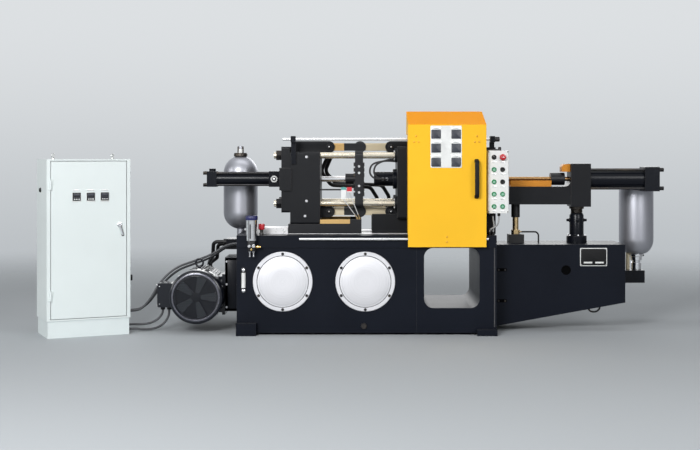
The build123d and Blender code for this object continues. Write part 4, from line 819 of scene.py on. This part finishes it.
# cabinet body: lifting eyes, side screw and the socket on the right side
caseSettings = {
    "eyes": [(-205, -110), (205, 110)], "top": 1055, "eyeRing": 11, "eyeWire": 3.6, "eyeUp": 21, "eyeTurn": 0.7,
    "screw": (-250, 30, 870), "socket": (250, -112, 338), "eyeFoot": [(12, 0), (12, 3), (7, 5), (6, 10)],
    "head": [(14, 0), (14, 3), (11, 5), (11, 9), (4, 9.5), (3.5, 6), (0, 6)],
}


def caseDress(eyes, top, eyeRing, eyeWire, eyeUp, eyeTurn, screw, socket, eyeFoot, head):
    bm = bmesh.new()
    for x, y in eyes:
        base = cabinetPlace @ move(x, y, top)
        lathe(bm, eyeFoot, base, 20, 0, capFirst)
        wire = [(eyeRing + eyeWire * cos(t), eyeWire * sin(t)) for t in around(10)]
        rings = [addRing(bm, [(r * cos(a), aside, eyeUp + r * sin(a)) for r, aside in wire], base @ spin(eyeTurn))
                 for a in around(24)]
        skin(bm, rings + rings[:1], 0, capNone)
    lathe(bm, head, cabinetPlace @ aim(screw, (-1, 0, 0)), 24, 1)
    plug = cabinetPlace @ aim(socket, (1, 0, 0))
    plate(bm, 44, 34, 6, plug, 5, 1.5, 1)
    plate(bm, 36, 27, 20, plug, 6, 3, 1)
    piece("cabinet_dress", bm, [zincSheet, blackPlastic], "machine")


caseDress(**caseSettings)
print("cabinet dressed")

# motor: cowl with a perforated end and the fan behind it
cowlSettings = {
    "x": -1029, "z": 223, "back": -200, "radius": 163.5, "depth": 130, "ring": 134, "pitch": 11.5, "hole": 4.6,
    "plateAt": 127.5, "steps": 96, "blades": 5, "screws": 4,
    "hub": [(144, 88), (30, 88), (28, 104), (10, 108), (0, 108)],
    "blade": [[(30, -12, 90), (125, -30, 90)], [(30, -12, 116), (125, -30, 116)], [(30, 12, 116), (125, 30, 112)]],
}


def motorCowl(x, z, back, radius, depth, ring, pitch, hole, plateAt, steps, blades, screws, hub, blade):
    bm = bmesh.new()
    axis = toFront(x, back, z)
    lathe(bm, [(radius - 3, 0), (radius, 1), (radius, depth - 18), (radius - 2, depth - 9),
               (radius - 8.5, depth - 2.5), (radius - 17.5, depth)], axis, steps, 0, capNone)
    lathe(bm, [(radius - 17.5, depth), (ring + 9.8, depth + 0.2), (ring + 9.2, depth + 4.2), (ring + 6, depth + 5),
               (ring + 2, depth + 4.6), (ring, depth + 1.5), (ring - 1, plateAt)], axis, steps, 1, capNone)
    lathe(bm, [(ring, plateAt - 2), (ring - 9, plateAt - 0.5), (ring - 10, plateAt - 4)], axis, steps, 0, capNone)
    rowStep = pitch * sqrt(3) / 2
    reach = int(ring / rowStep) + 1
    cell = [(pitch / sqrt(3), plateAt), (hole, plateAt), (hole, plateAt - 2)]
    for row in range(-reach, reach + 1):
        for column in range(-reach, reach + 1):
            across, up = (column + 0.5 * (row % 2)) * pitch, row * rowStep
            if sqrt(across * across + up * up) > ring - 4.5:
                continue
            middle = axis @ move(across, up, 0) @ spin(pi / 6)
            skin(bm, [polarRing(bm, [size] * 6, level, middle) for size, level in cell], 0, capNone)
    lathe(bm, hub, axis, 48, 0, capNone)
    for turn in around(blades):
        rows = [addRing(bm, ends, axis @ spin(turn)) for ends in blade]
        for low, high in zip(rows, rows[1:]):
            bm.faces.new((low[0], low[1], high[1], high[0])).material_index = 2
    for turn in around(screws):
        way = Vector((cos(pi / 4 + turn), 0, sin(pi / 4 + turn)))
        screw = aim(Vector((x, back - 12, z)) + way * (radius - 1), way)
        hexHead(bm, screw, 12, 6, 3)
    made = piece("fan_cowl", bm, [motorPaint, cowlRim, fanGrey, boltSteel], "machine")
    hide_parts("motor_fan_cowl")


motorCowl(**cowlSettings)

# terminal box of the motor: lid screws, a blank plate and two rivets
boxSettings = {
    "left": -1283, "front": -185, "back": -75, "bottom": 145, "top": 294, "screwY": 43, "screwZ": 62,
    "rivetIn": (14, 20),
}


def terminalDress(left, front, back, bottom, top, screwY, screwZ, rivetIn):
    bm = bmesh.new()
    midY, midZ = (front + back) / 2, (bottom + top) / 2
    for y, z in corners(screwY, screwZ):
        socketHead(bm, aim((left, midY + y, midZ + z), (-1, 0, 0)), 5.5, 4)
    plate(bm, 90, 60, 1.2, aim((left, midY, midZ), (-1, 0, 0)), 3, 0.4, 1)
    for z in (bottom + rivetIn[1], top - rivetIn[1]):
        rivet(bm, toFront(left + rivetIn[0], front, z), 4.2)
    piece("terminal_screws", bm, [boltSteel, blackOxide], "machine")


terminalDress(**boxSettings)
print("motor dressed")

# bed and clamp: bolts, the port of the clamp cylinder, the tail's bare plate, plugs and the seam of the bed
trimSettings = {
    "platenFront": -212, "platenBolts": [(-366, 1068), (-366, 799), (-375, 707)], "port": (-574, -49, 930),
    "tailFront": -175, "plateAt": (1395, 453.5), "plateSize": (166, 111), "strips": (-34, 36), "rivetIn": 10,
    "plug": (1226, 374), "slots": [(831.5, 375), (831.5, 185)], "drain": (-17, -350, 54), "seamX": 768,
    "seamFront": -350, "seamLow": 50, "seamHigh": 530, "beadStep": 7.5,
    "portRing": [(21.4, 0), (21.4, 15), (20, 17), (13, 17), (12, 15)],
    "portCore": [(12, 15), (7.5, 15), (7, 17.5), (4, 18), (0, 18)],
    "plugCap": [(29, 0), (29, 3), (26, 5), (22, 4.5), (20, 2), (0, 1.8)],
    "bead": [(4.6, 0), (4.1, 1.3), (2.4, 2.2), (0, 2.6)],
}


def bedTrim(platenFront, platenBolts, port, tailFront, plateAt, plateSize, strips, rivetIn, plug, slots, drain, seamX,
            seamFront, seamLow, seamHigh, beadStep, portRing, portCore, plugCap, bead):
    bm = bmesh.new()
    for x, z in platenBolts:
        spot = toFront(x, platenFront, z)
        lathe(bm, [(10.5, 0), (10.5, 1.5)], spot, 24, 1)
        hexHead(bm, spot @ move(0, 0, 1.4), 15, 7)
    lathe(bm, portRing, toFront(*port), 36, 3, capNone)
    lathe(bm, portCore, toFront(*port), 28, 0, capNone)
    spot = toFront(plateAt[0], tailFront, plateAt[1])
    wide, tall = plateSize
    plate(bm, wide, tall, 1.2, spot, 5, 0.3, 3)
    plate(bm, wide - 9, tall - 9, 1.6, spot, 3, 0.2, 4)
    for shift in strips:
        plate(bm, 52, 10, 1.9, spot @ move(shift, -34, 0), 1, 0.2, 3)
    for x, z in corners(wide / 2 - rivetIn, tall / 2 - rivetIn):
        rivet(bm, spot @ move(x, z, 1.4), 2.2)
    # the plug cap and the slot plates take the near-black matte: painted shade of a recess and of open slots
    lathe(bm, plugCap, toFront(plug[0], tailFront, plug[1]), 40, 5)
    for x, z in slots:
        spot = toFront(x, tailFront, z)
        plate(bm, 62, 18, 3.5, spot, 8, 1, 5)
        for shift in (-20, 20):
            socketHead(bm, spot @ move(shift, 0, 3.3), 6.2, 5, 2)
    hexHead(bm, toFront(*drain, 0.2), 34, 12, 2)
    for i in range(int((seamHigh - seamLow) / beadStep)):
        spot = toFront(seamX + 0.6 * sin(i * 2.4), seamFront, seamLow + i * beadStep)
        lathe(bm, bead, spot, 8, 1, capNone)
    piece("bed_trim", bm, [boltSteel, seamPaint, blackOxide, whitePlastic, plateBlack, holeShade], "machine")


bedTrim(**trimSettings)
print("bed trimmed")

# screw jack under the injection block: flanged base, threaded neck, crossed pins
jackSettings = {
    "x": 1321, "low": 530, "pinZ": 672, "pinHalf": 63.5, "flange": 63.5, "body": 44.5, "neck": (38, 715),
    "threads": 5, "threadPitch": 5.2, "boltCircle": 54.5, "bolts": 6,
}


def supportJack(x, low, pinZ, pinHalf, flange, body, neck, threads, threadPitch, boltCircle, bolts):
    bm = bmesh.new()
    base = move(x, 0, 0)
    lathe(bm, [(flange, low), (flange, low + 42), (flange - 4, low + 46), (body + 4, low + 47),
               (body, low + 52), (body, 702), (body - 3, 710), neck], base, 56, 0, capFirst)
    thread = [neck]
    for i in range(threads):
        level = neck[1] + 1 + i * threadPitch
        thread += [(35.5, level + 1), (37.5, level + 2.6), (37.5, level + 3.6), (35.5, level + 5)]
    lathe(bm, thread + [(46, 744), (46, 757)], base, 48, 1, capLast)
    pin = [(12.5, body - 3), (12.5, body + 3), (8.8, body + 4), (8.8, pinHalf - 2), (7, pinHalf), (0, pinHalf)]
    for way in ((-1, 0, 0), (1, 0, 0), (0, -1, 0), (0, 1, 0)):
        lathe(bm, pin, aim((x, 0, pinZ), way), 20)
    for spot in onCircle(boltCircle, bolts, low + 45.5, pi / bolts):
        hexHead(bm, base @ spot, 12, 7, 2)
    made = piece("jack_screw", bm, [frontPaint, blackOxide, boltSteel], "machine")
    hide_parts("support_jack")


supportJack(**jackSettings)

# gas bottle of the shot: dished ends, collar and bright neck, with a pale post beside it
flaskSettings = {
    "x": 1740, "y": 200, "neckLow": 345, "low": 439, "top": 903.5, "radius": 109.3, "neck": 37.5, "dish": 98,
    "dishSteps": 14, "crown": 50, "crownHeight": 40, "crownSteps": 8, "post": [(12.5, 0), (12.5, 108), (10.5, 111)],
    "postX": -54,
}


def shotBottle(x, y, neckLow, low, top, radius, neck, dish, dishSteps, crown, crownHeight, crownSteps, post, postX):
    bm = bmesh.new()
    base = move(x, y, 0)
    profile = [(neck, low + 6)]
    for turn in [i / dishSteps * pi / 2 for i in range(1, dishSteps + 1)]:
        profile.append((neck + (radius - neck) * sin(turn), low + 6 + dish * (1 - cos(turn))))
    profile.append((radius, top - crown))
    for turn in [i / crownSteps * pi / 2 for i in range(1, crownSteps + 1)]:
        profile.append((radius - crown + crown * cos(turn), top - crown + crownHeight * sin(turn)))
    profile += [(radius * 0.3, top - 2), (0, top)]
    lathe(bm, profile, base, 72, 0, capNone)
    collar = [(neck + 4, low - 12), (neck + 6, low - 10), (neck + 6, low + 4), (neck, low + 10)]
    lathe(bm, collar, base, 40, 1, capNone)
    stem = [(neck * 0.86, neckLow), (neck * 0.86, low - 50), (neck * 0.72, low - 46), (neck * 0.72, low - 36),
            (neck, low - 34), (neck, low - 12), (neck + 4, low - 12)]
    lathe(bm, stem, base, 40, 1, capFirst)
    for side in (-1, 1):
        socketHead(bm, base @ aim((side * 40, 0, low - 4), (side, 0, 0)), 6, 10, 2)
    lathe(bm, post, base @ move(postX, 0, neckLow), 24, 3)
    made = piece("shot_flask", bm, [bottleGrey, bowlChrome, blackOxide, linkCream], "machine")
    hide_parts("shot_bottle")


shotBottle(**flaskSettings)

# valve on the clamp's bottle: dark collar, pale body, two posts
stemSettings = {"x": -806, "y": 200, "low": 1070, "top": 1136.8, "collarHeight": 23.5, "postX": 15.5, "postY": -10}


def bottleStem(x, y, low, top, collarHeight, postX, postY):
    bm = bmesh.new()
    base = move(x, y, 0)
    rest = low + collarHeight
    lathe(bm, [(40, low), (43.5, low + 3), (43.5, low + 17), (40, rest), (19, rest)], base, 44, 1, capNone)
    lathe(bm, [(17.8, low + 22), (17.8, top - 20), (16, top - 16), (16, top)], base, 32, 0, capLast)
    for side in (-postX, postX):
        lathe(bm, [(4.8, 0), (4.8, top - low - 30), (3.6, top - low - 26)], base @ move(side, postY, rest), 14, 1)
    piece("bottle_stem", bm, [whitePlastic, blackOxide], "machine")


bottleStem(**stemSettings)

# cover of the motor bracket, rail end stop, shelf above the button box, hoop under the injection bed
coverPlateSettings = {
    "place": (-824.5, -159, 285), "width": 86, "height": 324, "boltX": 34, "boltZ": (-140, 0, 140),
    "railEnd": (782, -250, 1176), "shelf": (772, -266, 1107), "hoop": (1412, -100, 144.5), "hoopWire": 5.5,
    "stop": [(8.5, 0), (15, 1), (15, 22), (12.5, 27), (0, 28.5)], "knob": [(9.5, 8), (9.5, 18), (6.5, 22), (0, 22.5)],
    "knobX": 36, "bow": [(-36, -4), (-34, -20), (-20, -33), (0, -36), (20, -31), (34, -15), (36, 5)],
}


def coverPlate(place, width, height, boltX, boltZ, railEnd, shelf, hoop, hoopWire, stop, knob, knobX, bow):
    bm = bmesh.new()
    face = toFront(*place)
    plate(bm, width, height, 6, face, 6, 1)
    for x in (-boltX, boltX):
        for z in boltZ:
            hexHead(bm, face @ move(x, z, 5.5), 13, 6, 1)
    lathe(bm, stop, aim(railEnd, (1, 0, 0)), 28, 2)
    plate(bm, 88, 30, 9, move(*shelf), 3, 1, 2)
    lathe(bm, knob, move(*shelf) @ move(knobX, 0, 0), 20, 2)
    bentBar(bm, [(hoop[0] + x, hoop[1], hoop[2] + z) for x, z in bow], hoopWire, 2)
    piece("bracket_cover", bm, [frontPaint, boltSteel, blackOxide], "machine")


coverPlate(**coverPlateSettings)

# crosshead: rows of bolts along both edges of its front cheek, and screws in its face
cheekSettings = {
    "edges": [(-70, -1), (-20, 1)], "y": -160, "levels": (838, 871, 904, 956, 989, 1022), "faceX": -45, "faceY": -178,
    "faceLevels": (850, 890, 970, 1010),
}


def crossheadBolts(edges, y, levels, faceX, faceY, faceLevels):
    bm = bmesh.new()
    for z in levels:
        for x, way in edges:
            hexHead(bm, aim((x, y, z), (way, 0, 0)), 21, 8.5)
    for z in faceLevels:
        socketHead(bm, toFront(faceX, faceY, z), 7.5, 5, 1)
    piece("crosshead_bolts", bm, [blackOxide, boltSteel], "crosshead")


crossheadBolts(**cheekSettings)

# moving platen: tie bar collars, toggle pin caps and the two pipes of the ejector
platenSettings = {
    "face": 190, "ties": corners(148, 148), "tieMiddle": 930, "boltCircle": 33.5, "bolts": 4, "pinY": -113,
    "pinLevels": (730, 1130), "frontPin": 154, "rearPin": -231,
    "collar": [(22.5, 15.5), (42, 15.5), (44, 13.5), (44, 0)], "bore": [(22.5, 15.5), (22.5, 0)], "pipeGap": 26,
    "pipeRise": 0.3, "pipeRadius": 5.8,
    "pipe": [(40, -112, 1022), (22, -112, 975), (45, -112, 940), (92, -108, 930), (102, -80, 930), (102, -42, 930)],
}
pinCap = [(15, 0), (15, 2), (13, 3.6), (0, 4)]


def pinCaps(bm, x, y, levels):
    for z in levels:
        pin = toFront(x, y, z)
        lathe(bm, pinCap, pin, 28)
        rivet(bm, pin @ move(0, 0, 3.6), 5.5, 1)


def platenDress(face, ties, tieMiddle, boltCircle, bolts, pinY, pinLevels, frontPin, rearPin, collar, bore, pipeGap,
                pipeRise, pipeRadius, pipe):
    bm = bmesh.new()
    for y, z in ties:
        ring = aim((face, y, tieMiddle + z), (-1, 0, 0))
        lathe(bm, collar, ring, 44, 0, capNone)
        lathe(bm, bore, ring, 44, 1, capNone)
        for spot in onCircle(boltCircle, bolts, 15, pi / 4):
            socketHead(bm, ring @ spot, 6.2, 6, 1)
    pinCaps(bm, frontPin, pinY, pinLevels)
    for shift in (0, pipeGap):
        start = [(face, -112, 1040 + shift * pipeRise), (110 + shift, -112, 1042 + shift * pipeRise)]
        bentBar(bm, start + [(x + shift, y, z) for x, y, z in pipe], pipeRadius, 2)
        hexHead(bm, toFront(102 + shift, -40, 930), 18, 14, 1)
    piece("platen_dress", bm, [castPaint, boltSteel, cableBlack], "platen")
    bm = bmesh.new()
    pinCaps(bm, rearPin, pinY, pinLevels)
    piece("rear_pin_caps", bm, [castPaint, boltSteel], "machine")


platenDress(**platenSettings)
print("clamp dressed")

# finish of every solid that stays in sight
nodeFinish = {
    bedPaint: ["oil_tank", "die_bay", "injection_bed", "bed_feet"],
    shoeStrip: ["rear_platen_shoe"],
    castPaint: ["rear_platen", "fixed_platen", "moving_platen", "injection_frame"],
    frontPaint: ["cylinder_barrels", "cylinder_caps", "ejector_cylinder", "bottle_blocks", "motor_bracket",
                 "rail_brackets", "guard_hangers", "hydraulic_pump", "upper_short_link", "lower_short_link"],
    motorPaint: ["motor_frame", "motor_terminal_box"],
    rodAndHead: ["crosshead"],
    tieSteel: ["tie_bars"],
    blackOxide: ["tie_bar_nuts", "cylinder_tie_rods"],
    slideSteel: ["slideways"],
    linkCream: ["upper_front_link", "lower_front_link"],
    upperRear: ["upper_rear_link"],
    lowerRear: ["lower_rear_link"],
    linkSteel: ["shot_sleeve"],
    rodAndCoupling: ["plunger"],
    railSteel: ["guard_rails"],
    guardYellow: ["guard_hood"],
    trayOrange: ["plunger_tray"],
    blackPlastic: ["cable_glands"],
    pipesAndNut: ["hydraulic_pipes"],
    switchFinish: ["limit_switches"],
    panelWhite: ["control_panel"],
    bottleGrey: ["clamp_bottle"],
    cabinetWhite: ["cabinet_body", "cabinet_door"],
    plinthWhite: ["cabinet_plinth"],
    zincSheet: ["mounting_plate"],
}
for finish, names in nodeFinish.items():
    for nodeName in names:
        for slot in nodes[nodeName].material_slots:
            slot.material = finish
print("solids finished:", sum(len(names) for names in nodeFinish.values()))

# pale floor, in metres, that fades out into a plain surround
floorSettings = {"colour": rgb(0.44, 0.465, 0.485), "middle": (-0.1, 0.0), "solid": 2.6, "gone": 7.5, "steps": 96}


def studioFloor(colour, middle, solid, gone, steps):
    bm = bmesh.new()
    lathe(bm, [(gone, 0), (solid, 0), (0, 0)], move(*middle, 0), steps, 0, capNone)
    mesh = bpy.data.meshes.new("studio_floor")
    bm.to_mesh(mesh)
    bm.free()
    f = Finish("studioPaper")
    tone = f.vary(f.noise(90), colour, 0.985, 1.015)
    fade = f.band(f.distance("XY", middle), gone, solid)
    mesh.materials.append(f.set(colour=tone, rough=0.9, specular=0.1, alpha=fade))
    made = bpy.data.objects.new("studio_floor", mesh)
    scene.collection.objects.link(made)


studioFloor(**floorSettings)

# what lies round the stage: pale above, a little darker below and to both sides, and dim as a source of light
surroundSettings = {
    "low": rgb(0.46, 0.49, 0.515), "high": rgb(0.72, 0.745, 0.765), "side": rgb(0.24, 0.25, 0.26), "ambient": 0.26,
}


class Surround(Finish):
    def __init__(self, world):
        self.plant(world.node_tree, "Background", "OutputWorld", "Generated")


def surround(low, high, side, ambient):
    scene.world = bpy.data.worlds.new("studio")
    scene.world.use_nodes = True
    f = Surround(scene.world)
    across = f.axis("X")
    tone = f.mix(f.band(f.axis("Z"), -0.14, 0.12), low, high)
    tone = f.mix(f.band(across * across, 0.2, 0.85), tone, side)
    seen = [f.node("LightPath", out="Is " + ray + " Ray") for ray in ("Camera", "Glossy", "Transmission")]
    f.put(tone, f.shader.inputs["Color"])
    f.put(ambient + (seen[0] + seen[1] + seen[2]) * (1 - ambient), f.shader.inputs["Strength"])


surround(**surroundSettings)

lampSettings = [  # name, place, aimed at, width, height, watts
    ("keyLamp", (-2.2, -6.4, 3.2), (-0.4, 0, 0.7), 2.2, 1.8, 330),
    ("fillLamp", (3.6, -5.4, 2.8), (0.5, 0, 0.7), 2.2, 2.2, 112),
    ("topLamp", (0.0, -0.4, 4.8), (0, 0, 0), 4.5, 1.8, 40),
    ("backLamp", (0.8, 6.6, 3.0), (0, 0, 0.8), 6.0, 3.0, 150),
    ("sideLamp", (-7.0, -2.6, 2.4), (-1.6, -0.2, 0.6), 2.5, 2.5, 90),
]
for name, place, target, width, height, watts in lampSettings:
    lampData = bpy.data.lights.new(name, "AREA")
    lampData.shape = "RECTANGLE"
    lampData.size, lampData.size_y, lampData.energy = width, height, watts
    lamp = bpy.data.objects.new(name, lampData)
    lamp.location = place
    lamp.rotation_euler = (Vector(target) - Vector(place)).to_track_quat("-Z", "Y").to_euler()
    scene.collection.objects.link(lamp)
print("stage lit")
